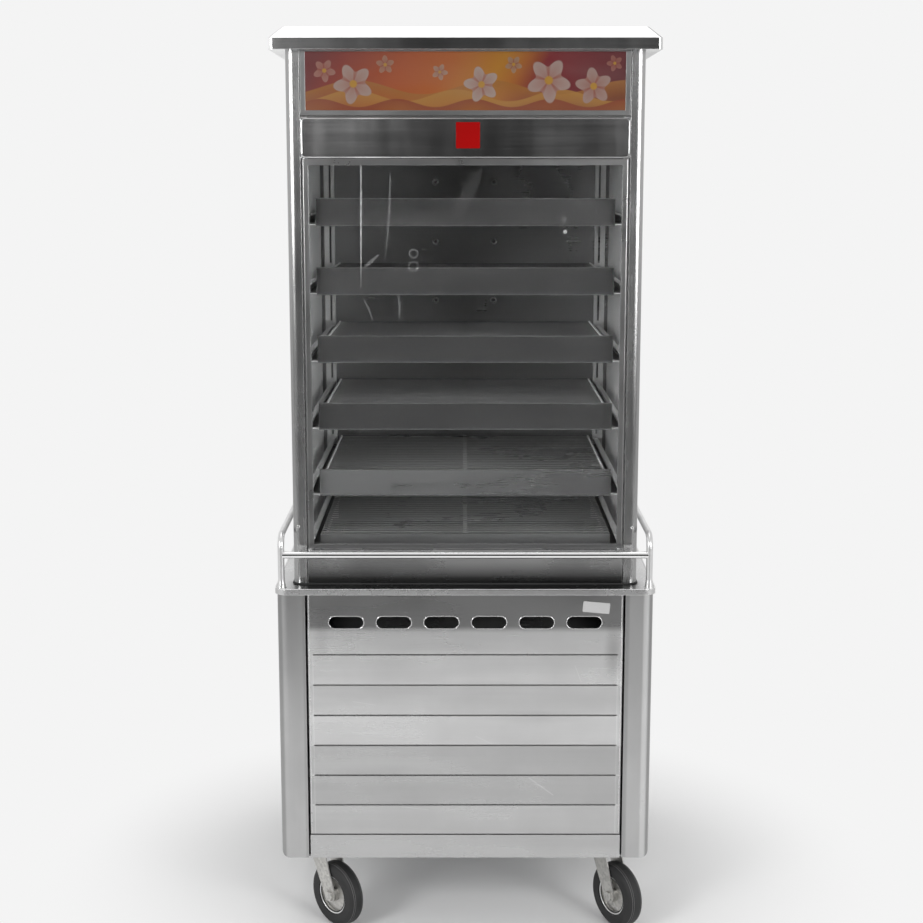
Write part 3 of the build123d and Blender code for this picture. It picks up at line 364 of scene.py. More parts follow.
# painted light: the liners are a light, almost matt copy of the chamber's steel
liner_steel = steel("liner steel", 1.0, 0.5, upward_grain, 0.25, 18.0, strokes=(10, 10, 1.5), metal=0.05)
rack_steel = steel("rack steel", 0.33, 0.155, across, 0.2, 19.0, strokes=(2, 3, 14), metal=0.97, glint=0.9)
low_rack_steel = steel("low rack steel", 0.36, 0.24, across, 0.3, 21.0, strokes=(2, 3, 14), metal=0.96,
                       glint=0.9)
deck_steel = steel("deck steel", 0.7, 0.2, satin, 0.3, 23.0)
# painted light: the posts, too, are a light, almost matt copy of the chamber's steel
post_steel = steel("post steel", 0.85, 0.4, upward_grain, 0.25, 29.0, strokes=(10, 10, 2), metal=0.1)
fitting_steel = steel("fitting steel", 0.7, 0.22, satin, 0.2, 31.0)
# a lighter, half diffuse steel for rims, rings and weld blobs: painted highlight as well as wear
edge_wear_and_sheen_steel = steel("edge wear and sheen steel", 0.9, 0.3, satin, 0.1, 37.0, metal=0.5)
print("steel finishes made")

# %% [markdown]
# ## Scratches and painted highlights on the base panel
#
# Feet and trays reach the base, so its front has thin bright scratches, and along its folded
# sides a painted highlight draws the line of light they catch. A small function lays one more
# colour over a finished material wherever a mask says so, and a list of short lines gives it
# the masks.


# %% Scratches and painted highlights on the base panel
def overlay(made, mask, share, colour):
    """Lays one more colour over a finished material, where the mask says."""
    tree = made.node_tree
    under = tree.nodes["Principled BSDF"].inputs["Base Color"]
    strength = sum_of(tree, mask, share, "MULTIPLY")
    tree.links.new(blend(tree, strength, under.links[0].from_socket, colour), under)


# each line is: x and z where it starts, x and z where it ends, width, share of white;
# the last two, up the folded sides, are painted highlights
scratches_and_highlights_on_base = (
    ((0.1206, 0.3195), (0.1663, 0.2856), 0.0016, 0.5),
    ((0.128, 0.308), (0.15, 0.301), 0.0012, 0.35),
    ((-0.21, 0.47), (-0.168, 0.463), 0.001, 0.25),
    ((-0.262, 0.588), (-0.246, 0.566), 0.0012, 0.3),
    ((0.02, 0.402), (0.052, 0.386), 0.001, 0.25),
    ((-0.12, 0.262), (-0.07, 0.256), 0.0012, 0.25),
    ((0.205, 0.54), (0.217, 0.508), 0.001, 0.25),
    ((-0.2845, 0.56), (-0.2845, 0.207), 0.0016, 0.3),
    ((0.2845, 0.56), (0.2845, 0.207), 0.0016, 0.3),
)
panel_tree = base_panel_steel.node_tree
for (x0, z0), (x1, z1), width, share in scratches_and_highlights_on_base:
    mask = place(panel_tree, streak_group, From=(x0, 0, z0), To=(x1, 0, z1), Width=width).outputs["Mask"]
    overlay(base_panel_steel, mask, share, grey(0.95))
print(len(scratches_and_highlights_on_base), "scratches")

# %% [markdown]
# ## Seams between the slats
#
# The base's front is pressed into slats, and the seam between two of them lies in shade and
# holds grime. The frame has the pressed seams as shapes, so a dark line of painted shade and
# grime along each is enough.

# %% Seams between the slats
seam_foot, seam_pitch, seam_half_width = 0.207, 0.059, 0.2835
seam_line_width = 0.0026
seam_count = 6
for number in range(1, seam_count + 1):
    level = seam_foot + seam_pitch * number
    mask = place(panel_tree, streak_group, From=(-seam_half_width, 0, level), To=(seam_half_width, 0, level),
                 Width=seam_line_width).outputs["Mask"]
    # painted shade, with some grime, along each pressed seam
    overlay(base_panel_steel, mask, 0.75, grey(0.05))
print(seam_count, "seams")

# %% [markdown]
# ## Slats and darker ovals
#
# Each slat leans a little differently, so each mirrors another part of the room, which a
# painted reflection on each slat gives. A few smaller, softer ovals darken the steel beside
# them, and a wide band of painted reflection darkens the panel's top. A soft oval over the
# finished steel gives all of these: wide and nearly sharp for a slat, small and soft for a
# darker oval.

# %% Slats and darker ovals
endless = 9  # metres, far wider than the cabinet, which makes an oval a band
shade_tone = grey(0.12)
# each slat is: its foot and its head, share of darkening
slats_on_base = (
    (0.443, 0.502, 0.12), (0.384, 0.443, 0.06), (0.325, 0.384, 0.32), (0.266, 0.325, 0.34), (0.2, 0.266, 0.2),
)
# each darker oval is: centre x and z, half width and half height, share of darkening
dark_ovals_on_base = (
    ((0.276, 0.565), (0.022, 0.075), 0.34),
    ((-0.268, 0.6), (0.02, 0.07), 0.16),
    ((-0.06, 0.575), (0.16, 0.016), 0.1),
    ((0.13, 0.44), (0.12, 0.018), 0.1),
    ((-0.16, 0.33), (0.13, 0.02), 0.1),
)


def shade_oval(made, centre, radii, share, colour=shade_tone, softness=0.95, part=None):
    """A soft oval of another tone on one finish, at x and z on the front; part is a second mask."""
    mask = place(made.node_tree, oval_group, Centre=(centre[0], 0, centre[1]), Radii=(radii[0], 1, radii[1]),
                 Softness=softness).outputs["Mask"]
    if part is not None:
        mask = sum_of(made.node_tree, mask, part, "MULTIPLY")
    overlay(made, mask, share, colour)


for foot, head, share in slats_on_base:
    shade_oval(base_panel_steel, (0, (foot + head) / 2), (endless, (head - foot) / 2), share, softness=0.08)
for centre, radii, share in dark_ovals_on_base:
    shade_oval(base_panel_steel, centre, radii, share)
# a wide band of painted reflection, darker across the panel's top
shade_oval(base_panel_steel, (0, 0.655), (endless, 0.053), 0.72, softness=0.3)
print(len(slats_on_base), "slats and", len(dark_ovals_on_base), "smudges")

# %% [markdown]
# ## Large soft reflections
#
# A flat sheet mirrors one stretch of the room, and the tone drifts softly over it. A few broad
# ovals and bands stand in for that on the base's sides, the lower panel, the header and the
# roof, and bands of painted shade darken the door frame's foot and the chamber's front
# corners. They are paint in the finish, which keeps the scene simple, but unlike true
# reflections they stay put when the camera moves.

# %% Large soft reflections
shade_oval(base_side_steel, (-0.325, 0.66), (0.06, 0.34), 0.3)
shade_oval(base_side_steel, (0.325, 0.42), (0.06, 0.34), 0.1)
shade_oval(lower_steel, (0, 0.69), (endless, 0.058), 0.85, grey(0.02))
# painted shade on the door frame's foot, just above the guard bar
shade_oval(trim_steel, (0, 0.76), (0.4, 0.012), 0.4, grey(0.04), 0.3)
header_lights = (((-0.27, 1.507), (0.08, 0.2), 0.6), ((-0.175, 1.507), (0.055, 0.2), 1.0),
                 ((-0.1, 1.507), (0.1, 0.2), 0.35))
for centre, radii, share in header_lights:
    shade_oval(header_steel, centre, radii, share, grey(1.0))
shade_oval(roof_steel, (-0.33, 1.68), (0.18, 0.2), 0.9, grey(1.0))
# each band runs up a side casing at x: half width, share, tone
bands_on_side = ((-0.3455, 0.007, 0.35, 0.12), (0.336, 0.007, 0.25, 0.95), (0.3455, 0.004, 0.4, 0.12),
                 (-0.3, 0.004, 0.2, 0.12), (0.3, 0.007, 0.3, 0.12))
for x, half, share, tone in bands_on_side:
    shade_oval(base_side_steel, (x, 0.42), (half, endless), share, grey(tone), 0.6)
# the front corners of the chamber's sides, in a band of painted shade
for side in (-1, 1):
    shade_oval(upper_side_steel, (side * 0.317, 1.2), (0.006, endless), 0.35, softness=0.7)
print(len(header_lights), "lights on the header,", len(bands_on_side), "bands on the sides")

# %% [markdown]
# ## Wires and deck
#
# The wires of each rack are drawn rod, brighter than its sheet, and the two low racks lie in
# shadow. Only what is behind the lip may change, so a second mask, which rises on the way to
# the back, limits the oval. Turned round, it darkens the deck in front of the chamber, which
# mirrors the chamber's shaded foot.

# %% Wires and deck
wire_finishes = ((rack_steel, (1.378, 1.253, 1.128, 1.003)), (low_rack_steel, (0.878, 0.777)))
behind_lip = -0.281


def reach_mask(made, start, end):
    """A mask that rises between two places on the way to the back."""
    tree = made.node_tree
    back = add(tree, "SeparateXYZ", _0=add(tree, "TexCoord").outputs["Object"]).outputs["Y"]
    return add(tree, "MapRange", Value=back, _1=start, _2=end).outputs[0]


for made, levels in wire_finishes:
    inside = reach_mask(made, behind_lip, behind_lip + 0.001)
    if made == low_rack_steel:
        overlay(made, inside, 0.45, grey(0.03))
    for level in levels:
        shade_oval(made, (0, level), (endless, 0.0024), 0.22, grey(1.0), 0.2, inside)
deck_front = reach_mask(deck_steel, -0.28, -0.3)
shade_oval(deck_steel, (0, 0.687), (0.34, 0.0009), 0.88, grey(0.02), 0.12, deck_front)
print("wires of", sum(len(levels) for made, levels in wire_finishes), "racks, and the deck's front")

# %% [markdown]
# ## Polished and satin tube
#
# The guard's front bar is polished tube: almost a mirror, with only the faintest drawing
# lines. Its hoops are rubbed duller, so handling marks drive their tone and their gloss.

# %% Polished and satin tube
polished_tube, tree, shader = material("polished tube")
lines = place(tree, grain_group, Stretch=(2, 2, 2), Contrast=0.3).outputs["Grain"]
rough = sum_of(tree, sum_of(tree, lines, 0.1, "MULTIPLY"), 0.05)
tree.links.new(blend(tree, lines, grey(0.88), grey(0.78)), shader.inputs["Base Color"])
tree.links.new(rough, shader.inputs["Roughness"])
shader.inputs["Metallic"].default_value = 1.0
satin_tube, tree, shader = material("satin tube")
rubbed = place(tree, marks_group, Size=9.0, Strokes=(8, 8, 8), Seed=41.0).outputs["Mask"]
tree.links.new(blend(tree, rubbed, grey(0.82), grey(0.62)), shader.inputs["Base Color"])
tree.links.new(sum_of(tree, sum_of(tree, rubbed, 0.1, "MULTIPLY"), 0.28), shader.inputs["Roughness"])
shader.inputs["Metallic"].default_value = 0.9
print("tube made")

# %% [markdown]
# ## Zinc
#
# The casters and the base's floor are coated with zinc, which sets in flat crystals. A Voronoi
# texture gives each crystal its own shade, and wear brightens the edges.


# %% Zinc
def crystalline(name, light, dark, size, roughness, metallic):
    """Zinc or galvanising, with its flat crystals."""
    made, tree, shader = material(name)
    where = add(tree, "TexCoord").outputs["Object"]
    crystals = add(tree, "TexVoronoi", Vector=where, Scale=size)
    shade = add(tree, "SeparateColor", _0=crystals.outputs["Color"]).outputs[0]
    wiped = place(tree, marks_group, Size=14.0, Seed=3.0).outputs["Mask"]
    edge = place(tree, edge_group, Width=0.001).outputs["Edge"]
    mottled = blend(tree, shade, light, dark)
    soiled = blend(tree, sum_of(tree, wiped, 0.35, "MULTIPLY"), mottled, grey(0.25))
    tree.links.new(blend(tree, sum_of(tree, edge, 0.5, "MULTIPLY"), soiled, grey(0.85)),
                   shader.inputs["Base Color"])
    tree.links.new(sum_of(tree, sum_of(tree, shade, 0.15, "MULTIPLY"), roughness),
                   shader.inputs["Roughness"])
    shader.inputs["Metallic"].default_value = metallic
    return made


caster_zinc = crystalline("caster zinc", (0.68, 0.67, 0.64, 1), (0.52, 0.51, 0.49, 1), 180.0, 0.32, 0.9)
galvanised = crystalline("galvanised sheet", (0.55, 0.56, 0.57, 1), (0.42, 0.43, 0.44, 1), 60.0, 0.42, 0.8)
print("zinc made")

# %% [markdown]
# ## Cast brass
#
# The drain valve is cast brass. The mould leaves a fine grain, which is a bump here, and the
# metal tarnishes brown in patches.

# %% Cast brass
valve_brass, tree, shader = material("valve brass")
cast = add(tree, "TexNoise", Vector=add(tree, "TexCoord").outputs["Object"], Scale=220.0, Detail=4.0)
tarnish = place(tree, marks_group, Size=25.0, Seed=5.0).outputs["Mask"]
tree.links.new(blend(tree, tarnish, (0.78, 0.6, 0.3, 1), (0.45, 0.32, 0.15, 1)), shader.inputs["Base Color"])
tree.links.new(sum_of(tree, sum_of(tree, tarnish, 0.25, "MULTIPLY"), 0.28), shader.inputs["Roughness"])
tree.links.new(add(tree, "Bump", Strength=0.3, Distance=0.0003, Height=cast.outputs[0]).outputs[0],
               shader.inputs["Normal"])
shader.inputs["Metallic"].default_value = 1.0
print("brass made")

# %% [markdown]
# ## Rubber, plastics and paint
#
# A tyre is dark but never black: it carries grey dust in its pores and on its tread. The same
# function serves the door's silicone seal, the knob's hard plastic and the lever's dipped
# paint, which differ in colour, gloss and texture.


# %% Moulded finishes
def moulded(name, colour, worn_colour, roughness, pores, depth, coat=0.0):
    """A moulded or dipped finish with pores of the given scale and a worn colour in patches."""
    made, tree, shader = material(name)
    where = add(tree, "TexCoord").outputs["Object"]
    skin = add(tree, "TexNoise", Vector=where, Scale=pores, Detail=5.0, Roughness=0.7)
    patches = place(tree, marks_group, Size=12.0, Seed=2.0).outputs["Mask"]
    edge = place(tree, edge_group, Width=0.001).outputs["Edge"]
    wear = sum_of(tree, sum_of(tree, patches, 0.45, "MULTIPLY"), sum_of(tree, edge, 0.5, "MULTIPLY"),
                  "ADD", True)
    tree.links.new(blend(tree, wear, colour, worn_colour), shader.inputs["Base Color"])
    tree.links.new(sum_of(tree, sum_of(tree, skin.outputs[0], 0.2, "MULTIPLY"), roughness - 0.1),
                   shader.inputs["Roughness"])
    tree.links.new(add(tree, "Bump", Strength=0.5, Distance=depth, Height=skin.outputs[0]).outputs[0],
                   shader.inputs["Normal"])
    shader.inputs["Coat Weight"].default_value = coat
    return made


tyre_rubber_and_shade = moulded("tyre rubber and shade", (0.007, 0.007, 0.0075, 1), (0.03, 0.03, 0.03, 1), 0.6, 900.0, 0.0003)
dusty_rubber = moulded("dusty rubber", grey(0.09), grey(0.16), 0.65, 900.0, 0.0001)
seal_silicone = moulded("seal silicone", grey(0.3), grey(0.42), 0.55, 500.0, 0.0001)
knob_plastic = moulded("knob plastic", grey(0.03), grey(0.09), 0.45, 1500.0, 0.0001)
magnet_plastic = moulded("magnet plastic", grey(0.06), grey(0.12), 0.5, 1200.0, 0.0001)
lever_paint = moulded("lever paint", (0.5, 0.04, 0.03, 1), (0.3, 0.06, 0.05, 1), 0.3, 300.0, 0.0001, 0.3)
lamp_white = moulded("lamp white", grey(0.85), grey(0.7), 0.35, 100.0, 0.00005, 0.2)
print("rubber, plastics and paint made")

# %% [markdown]
# ## Clear glass
#
# Real glass bends light, and a ray tracer would need thousands of samples to find the lamps
# through it. The trick is to let shadow rays pass straight through, while every other ray
# meets true glass with its reflections.

# %% Door glass
clear_glass, tree, shader = material("clear glass")
film = place(tree, marks_group, Size=3.0, Strokes=(6, 6, 2), Seed=8.0).outputs["Mask"]
shader.inputs["Base Color"].default_value = (0.975, 0.98, 0.98, 1)
tree.links.new(sum_of(tree, sum_of(tree, film, 0.03, "MULTIPLY"), 0.005), shader.inputs["Roughness"])
shader.inputs["Transmission Weight"].default_value = 1.0
shader.inputs["IOR"].default_value = 1.47
passing = add(tree, "BsdfTransparent")
shadow_ray = add(tree, "LightPath").outputs["Is Shadow Ray"]
either = add(tree, "MixShader", _0=shadow_ray, _1=shader.outputs[0], _2=passing.outputs[0])
tree.links.new(either.outputs[0], tree.nodes["Material Output"].inputs["Surface"])
print("glass made")

# %% [markdown]
# ## A printed blossom
#
# The sign is a printed sheet in warm colours with blossoms on it. A blossom is a circle whose
# radius swells five times on the way round, so one group with a centre, a radius and a turn
# draws them all. It gives masks for the petals and the heart, and a shade for the creases.

# %% Blossom group
blossom_group, blossom_in, blossom_out = group_of(
    "printed blossom",
    [("Centre", "Vector", (0, 0, 0)), ("Radius", "Float", 0.03), ("Turn", "Float", 0.0)],
    [("Mask", "Float"), ("Heart", "Float"), ("Shade", "Float")],
)
petal_count = 5
where = add(blossom_group, "TexCoord").outputs["Object"]
moved = add(blossom_group, "VectorMath", {"operation": "SUBTRACT"}, _0=where,
            _1=blossom_in.outputs["Centre"]).outputs[0]
flat = add(blossom_group, "VectorMath", {"operation": "MULTIPLY"}, _0=moved, _1=(1, 0, 1)).outputs[0]
axes = add(blossom_group, "SeparateXYZ", _0=flat)
angle = sum_of(blossom_group, axes.outputs["Z"], axes.outputs["X"], "ARCTAN2")
turned = sum_of(blossom_group, angle, blossom_in.outputs["Turn"])
angle = sum_of(blossom_group, turned, petal_count, "MULTIPLY")
ripple = add(blossom_group, "Math", {"operation": "COSINE"}, _0=angle).outputs[0]
rim = sum_of(blossom_group, sum_of(blossom_group, ripple, 0.2, "MULTIPLY"), 0.8)
reach = add(blossom_group, "VectorMath", {"operation": "LENGTH"}, _0=flat).outputs["Value"]
reach = sum_of(blossom_group, reach, blossom_in.outputs["Radius"], "DIVIDE")
swell = sum_of(blossom_group, reach, rim, "DIVIDE")
mask = add(blossom_group, "MapRange", {"interpolation_type": "SMOOTHSTEP"}, Value=swell, _1=0.92, _2=1.0,
           _3=1.0, _4=0.0)
heart = add(blossom_group, "MapRange", {"interpolation_type": "SMOOTHSTEP"}, Value=reach, _1=0.14, _2=0.22,
            _3=1.0, _4=0.0)
crease = add(blossom_group, "MapRange", Value=ripple, _1=-0.4, _2=-1.0).outputs[0]
inward = add(blossom_group, "MapRange", Value=swell, _1=1.0, _2=0.15).outputs[0]
shade = sum_of(blossom_group, sum_of(blossom_group, crease, 0.7, "MULTIPLY"),
               sum_of(blossom_group, inward, 0.6, "MULTIPLY"), "ADD", True)
blossom_group.links.new(mask.outputs[0], blossom_out.inputs["Mask"])
blossom_group.links.new(heart.outputs[0], blossom_out.inputs["Heart"])
blossom_group.links.new(shade, blossom_out.inputs["Shade"])
print("group", blossom_group.name)

# %% [markdown]
# ## The sign's ground and waves
#
# The print's ground is a wide ramp from brick red through orange and gold to a deep red, with
# soft waves along its lower edge. It is all nodes, so it stays sharp at any size. The lamp
# behind it is off, so the inks are darker than their pigments.

# %% Sign ground and waves
sign_low, sign_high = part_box("sign_panel")
sign_mid = (sign_low + sign_high) / 2
sign_half = (sign_high.x - sign_low.x) / 2
sign_rise = (sign_high.z - sign_low.z) / 2
ink_share = 0.38


def ink(colour):
    """A printed colour, which is darker than its pigment because the sheet behind it is unlit."""
    return (*(ink_share * part for part in colour[:3]), 1)


sign_print, tree, shader = material("sign print")
where = add(tree, "TexCoord").outputs["Object"]
parts = add(tree, "SeparateXYZ", _0=where)
along = add(tree, "MapRange", Value=parts.outputs["X"], _1=sign_low.x, _2=sign_high.x)
tilt = add(tree, "MapRange", Value=parts.outputs["Z"], _1=sign_low.z, _2=sign_high.z, _3=0.05, _4=-0.05)
ramp = add(tree, "ValToRGB", _0=sum_of(tree, along.outputs[0], tilt.outputs[0]))
stops = ((0.0, (0.3, 0.07, 0.07, 1)), (0.08, (0.42, 0.06, 0.04, 1)), (0.28, (0.68, 0.14, 0.03, 1)),
         (0.42, (0.74, 0.19, 0.03, 1)), (0.58, (0.78, 0.34, 0.04, 1)), (0.64, (0.7, 0.24, 0.04, 1)),
         (0.72, (0.36, 0.04, 0.05, 1)), (1.0, (0.2, 0.03, 0.04, 1)))
for place_share, colour in stops[1:-1]:
    ramp.color_ramp.elements.new(place_share)
for element, (place_share, colour) in zip(ramp.color_ramp.elements, stops):
    element.position = place_share
    element.color = ink(colour)
printed = ramp.outputs[0]
# each wave is: height and swing as shares of the half height, crests per metre, phase, colour
waves = (
    (-0.2, 0.24, 26.0, 0.4, (0.6, 0.24, 0.05, 1)),
    (-0.48, 0.2, 34.0, 2.1, (0.74, 0.36, 0.08, 1)),
    (-0.74, 0.14, 46.0, 0.9, (0.42, 0.08, 0.04, 1)),
)
for height, swing, crests, phase, colour in waves:
    turn = sum_of(tree, sum_of(tree, parts.outputs["X"], crests, "MULTIPLY"), phase)
    sine = add(tree, "Math", {"operation": "SINE"}, _0=turn).outputs[0]
    sway = sum_of(tree, sine, swing * sign_rise, "MULTIPLY")
    crest = sum_of(tree, sway, sign_mid.z + height * sign_rise)
    under = sum_of(tree, crest, parts.outputs["Z"], "SUBTRACT")
    band = add(tree, "MapRange", Value=under, _1=0.0, _2=0.0012)
    fade = add(tree, "MapRange", Value=under, _1=0.0, _2=0.03, _3=0.9, _4=0.35)
    printed = blend(tree, sum_of(tree, band.outputs[0], fade.outputs[0], "MULTIPLY"), printed, ink(colour))
print("ground with", len(stops), "colours and", len(waves), "waves")

# %% [markdown]
# ## Blossoms on the sign
#
# A list places the blossoms by shares of the sign's half width and half height, so the layout
# follows the sign's size. Fine fibres and a little age finish the print.

# %% Blossoms on the sign
# each blossom is: centre as shares of the half width and half height, radius, turn, petal colour
blossoms = (
    ((-0.88, 0.35), 0.021, 0.2, (0.6, 0.3, 0.24, 1)),
    ((-0.7, -0.1), 0.037, 0.5, (0.68, 0.5, 0.43, 1)),
    ((-0.5, 0.55), 0.017, 0.9, (0.62, 0.33, 0.22, 1)),
    ((-0.16, 0.3), 0.015, 0.1, (0.66, 0.42, 0.3, 1)),
    ((0.1, -0.12), 0.033, 0.7, (0.7, 0.55, 0.48, 1)),
    ((0.3, 0.56), 0.016, 0.3, (0.62, 0.4, 0.25, 1)),
    ((0.52, 0.02), 0.041, 0.25, (0.68, 0.5, 0.44, 1)),
    ((0.8, -0.18), 0.034, 0.8, (0.64, 0.44, 0.38, 1)),
    ((0.93, 0.6), 0.015, 0.6, (0.5, 0.2, 0.16, 1)),
)
for (across_share, up_share), radius, turn, colour in blossoms:
    centre = (sign_mid.x + across_share * sign_half, 0, sign_mid.z + up_share * sign_rise)
    flower = place(tree, blossom_group, Centre=centre, Radius=radius, Turn=turn).outputs
    deeper = (colour[0] * 0.8, colour[1] * 0.4, colour[2] * 0.34, 1)
    petals = blend(tree, flower["Shade"], ink(colour), ink(deeper))
    petals = blend(tree, flower["Heart"], petals, ink((0.8, 0.42, 0.06)))
    printed = blend(tree, flower["Mask"], printed, petals)
fibres = add(tree, "TexNoise", Vector=where, Scale=900.0, Detail=3.0)
aged = place(tree, marks_group, Size=6.0, Seed=12.0).outputs["Mask"]
printed = blend(tree, sum_of(tree, aged, 0.14, "MULTIPLY"), printed, ink((0.36, 0.26, 0.22)))
tree.links.new(printed, shader.inputs["Base Color"])
tree.links.new(sum_of(tree, sum_of(tree, aged, 0.2, "MULTIPLY"), 0.3), shader.inputs["Roughness"])
tree.links.new(add(tree, "Bump", Strength=0.1, Distance=0.0001, Height=fibres.outputs[0]).outputs[0],
               shader.inputs["Normal"])
print("sign print with", len(blossoms), "blossoms")

# %% [markdown]
# ## Dressing the frame
#
# Every carried-over piece gets its finish here. The table lists finishes and the pieces that
# wear them, so it reads like a cutting list. A narrow bevel softens the folded edges, which
# is what lets them catch a line of light; the sheets in the frame have perfectly sharp ones.

# %% Finishes by piece
caster_sides = ("front_left", "front_right", "rear_left", "rear_right")
finishes = (
    (base_panel_steel, ("base_front_panel",)),
    (base_rail_steel, ("base_bottom_rail", "base_rear_panel", "control_pan")),
    (base_side_steel, ("base_left_casing", "base_right_casing")),
    (upper_side_steel, ("upper_left_casing", "upper_right_casing", "upper_rear_panel")),
    (header_steel, ("header_fascia",)),
    (lower_steel, ("lower_front_panel",)),
    (trim_steel, ("door_frame", "sign_box")),
    (roof_steel, ("roof_cap",)),
    (chamber_steel, ("rear_wall", "chamber_ceiling", "steam_duct", "water_tank")),
    (liner_steel, ("side_liners",)),
    (post_steel, ("ladder_posts", "rack_rails")),
    (rack_steel, tuple(f"rack_{n}" for n in range(1, 5))),
    (low_rack_steel, ("rack_5", "rack_6")),
    (deck_steel, ("base_deck",)),
    (galvanised, ("base_floor",)),
    (fitting_steel, ("steam_nozzles", "drain_pipe", "door_pivots", "heating_element")),
    (polished_tube, ("guard_front_bar",)),
    (satin_tube, ("guard_left_hoop", "guard_right_hoop")),
    (caster_zinc, ("caster_plates", *(f"caster_{s}_{p}" for s in caster_sides for p in ("fork", "rim")))),
    (tyre_rubber_and_shade, tuple(f"caster_{s}_tyre" for s in caster_sides)),
    (valve_brass, ("drain_valve_body",)),
    (lever_paint, ("drain_lever",)),
    (knob_plastic, ("thermostat_body", "thermostat_knob")),
    (magnet_plastic, ("door_catch",)),
    (seal_silicone, ("door_gasket",)),
    (lamp_white, ("sign_lamp",)),
    (clear_glass, ("door_glass",)),
    (sign_print, ("sign_panel",)),
)
dressed = set()
for finish, names in finishes:
    for name in names:
        slots = nodes[name].data.materials
        slots.clear()
        slots.append(finish)
        dressed.add(name)
print("dressed", len(dressed), "of", len(nodes), sorted(set(nodes) - dressed))

# %% [markdown]
# ## Rolled edges and weld beads
#
# The frame's sheets end in sharp cuts. On the real cabinet the racks' lips are hemmed, the
# slots have a rolled collar and the guard's feet are welded to the deck. All three are thin
# round beads along a line, and a curve with a bevel depth is the lightest way to make one:
# the points give its path, and the depth is its radius.


# %% Beads
def bead(name, lines, radius, finish, body, closed=False):
    """Round beads along lines of points, as one piece."""
    curve = bpy.data.curves.new(name, "CURVE")
    curve.dimensions = "3D"
    curve.bevel_depth = radius
    curve.bevel_resolution = 2
    curve.use_fill_caps = True
    for points in lines:
        spline = curve.splines.new("POLY")
        spline.points.add(len(points) - 1)
        for point, spot in zip(spline.points, points):
            point.co = (*spot, 1)
        spline.use_cyclic_u = closed
        spline.use_smooth = True
    curve.materials.append(finish)
    piece = bpy.data.objects.new(name, curve)
    bpy.context.scene.collection.objects.link(piece)
    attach(piece, body)
    return piece


def mesh_piece(name, shape, finish, body):
    """Turns a finished bmesh into a piece that rides on a body."""
    mesh = bpy.data.meshes.new(name)
    shape.to_mesh(mesh)
    shape.free()
    mesh.materials.append(finish)
    piece = bpy.data.objects.new(name, mesh)
    bpy.context.scene.collection.objects.link(piece)
    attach(piece, body)
    return piece


def arc(centre, radius, start, end, steps, plane="xz"):
    """Points round part of a circle, in the plane that faces the front or the sky."""
    points = []
    for step in range(steps + 1):
        angle = math.radians(start + (end - start) * step / steps)
        a, b = radius * math.cos(angle), radius * math.sin(angle)
        shift = (a, 0, b) if plane == "xz" else (a, b, 0)
        points.append(tuple(start_at + part for start_at, part in zip(centre, shift)))
    return points


rack_half = 0.272
hem_radius = 0.0011
top_radius = 0.0006
for number in range(1, 7):
    low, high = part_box(f"rack_{number}")
    lip_foot = [(-rack_half, low.y, low.z + hem_radius), (rack_half, low.y, low.z + hem_radius)]
    bead(f"rack_{number}_hem", [lip_foot], hem_radius, rack_steel, f"rack_{number}")
    lip_head = [(-rack_half, low.y, high.z - top_radius), (rack_half, low.y, high.z - top_radius)]
    bead(f"rack_{number}_rim", [lip_head], top_radius, rack_steel, f"rack_{number}")
print("hems on six racks")

# %% [markdown]
# ## Slot collars
#
# Each of the six slots in the base's front has a rolled rim. It is one closed line of two half
# circles, and the straights between them come by themselves.

# %% Slot collars
panel_low, panel_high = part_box("base_front_panel")
slot_pitch = 0.0885
slot_height = 0.0242
slot_straight = 0.0662 - slot_height
slot_level = 0.623
collars = []
for number in range(6):
    middle = slot_pitch * (number - 2.5)
    right = arc((middle + slot_straight / 2, panel_low.y, slot_level), slot_height / 2, -90, 90, 10)
    left = arc((middle - slot_straight / 2, panel_low.y, slot_level), slot_height / 2, 90, 270, 10)
    collars.append(right + left)
bead("slot_collars", collars, 0.001, fitting_steel, "cabinet", closed=True)
print(len(collars), "slot collars")

# %% [markdown]
# ## Weld beads
#
# The guard's four feet are welded to the deck, each by a bead that runs round the tube.

# %% Weld beads
deck_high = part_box("base_deck")[1]
welds = []
for guard in ("guard_left_hoop", "guard_right_hoop"):
    low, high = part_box(guard)
    tube_radius = (high.x - low.x) / 2
    for foot in (low.y + tube_radius, high.y - tube_radius):
        centre = ((low.x + high.x) / 2, foot, deck_high.z + 0.0004)
        welds.append(arc(centre, tube_radius + 0.0002, 0, 342, 19, "xy"))
bead("guard_welds", welds, 0.0013, fitting_steel, "cabinet", closed=True)
print(len(welds), "weld beads")

# %% [markdown]
# ## Deck rim and panel edges
#
# The deck's rim is worn bright, and the base panel's sides are folded back. Both catch a line
# of light, which a thin bead gives. The rim's bead takes a lighter steel, a painted highlight
# as well as wear.


# %% Deck rim and panel edges
def rounded_path(half_x, half_y, corner, level, steps=8):
    """A rectangle with rounded corners, lying level."""
    points = []
    for side_x, side_y, start in ((1, 1, 0), (-1, 1, 90), (-1, -1, 180), (1, -1, 270)):
        middle = (side_x * (half_x - corner), side_y * (half_y - corner), level)
        points += arc(middle, corner, start, start + 90, steps, "xy")
    return points


rim_radius = 0.0016
deck_corner = 0.024
rim_path = rounded_path(deck_high.x - rim_radius, deck_high.y - rim_radius, deck_corner - rim_radius,
                        deck_high.z - rim_radius * 0.6)
bead("deck_rim", [rim_path], rim_radius, edge_wear_and_sheen_steel, "cabinet", closed=True)
edge_radius = 0.0012
sides = [[(side * (panel_high.x - 0.0032), panel_low.y, panel_low.z + 0.002),
          (side * (panel_high.x - 0.0032), panel_low.y, panel_high.z - 0.002)] for side in (-1, 1)]
bead("panel_edges", sides, edge_radius, fitting_steel, "cabinet")
print("deck rim and panel edges")

# %% [markdown]
# ## Seam round the chamber's foot
#
# Where the chamber stands on the deck, a dark bead runs round the joint.

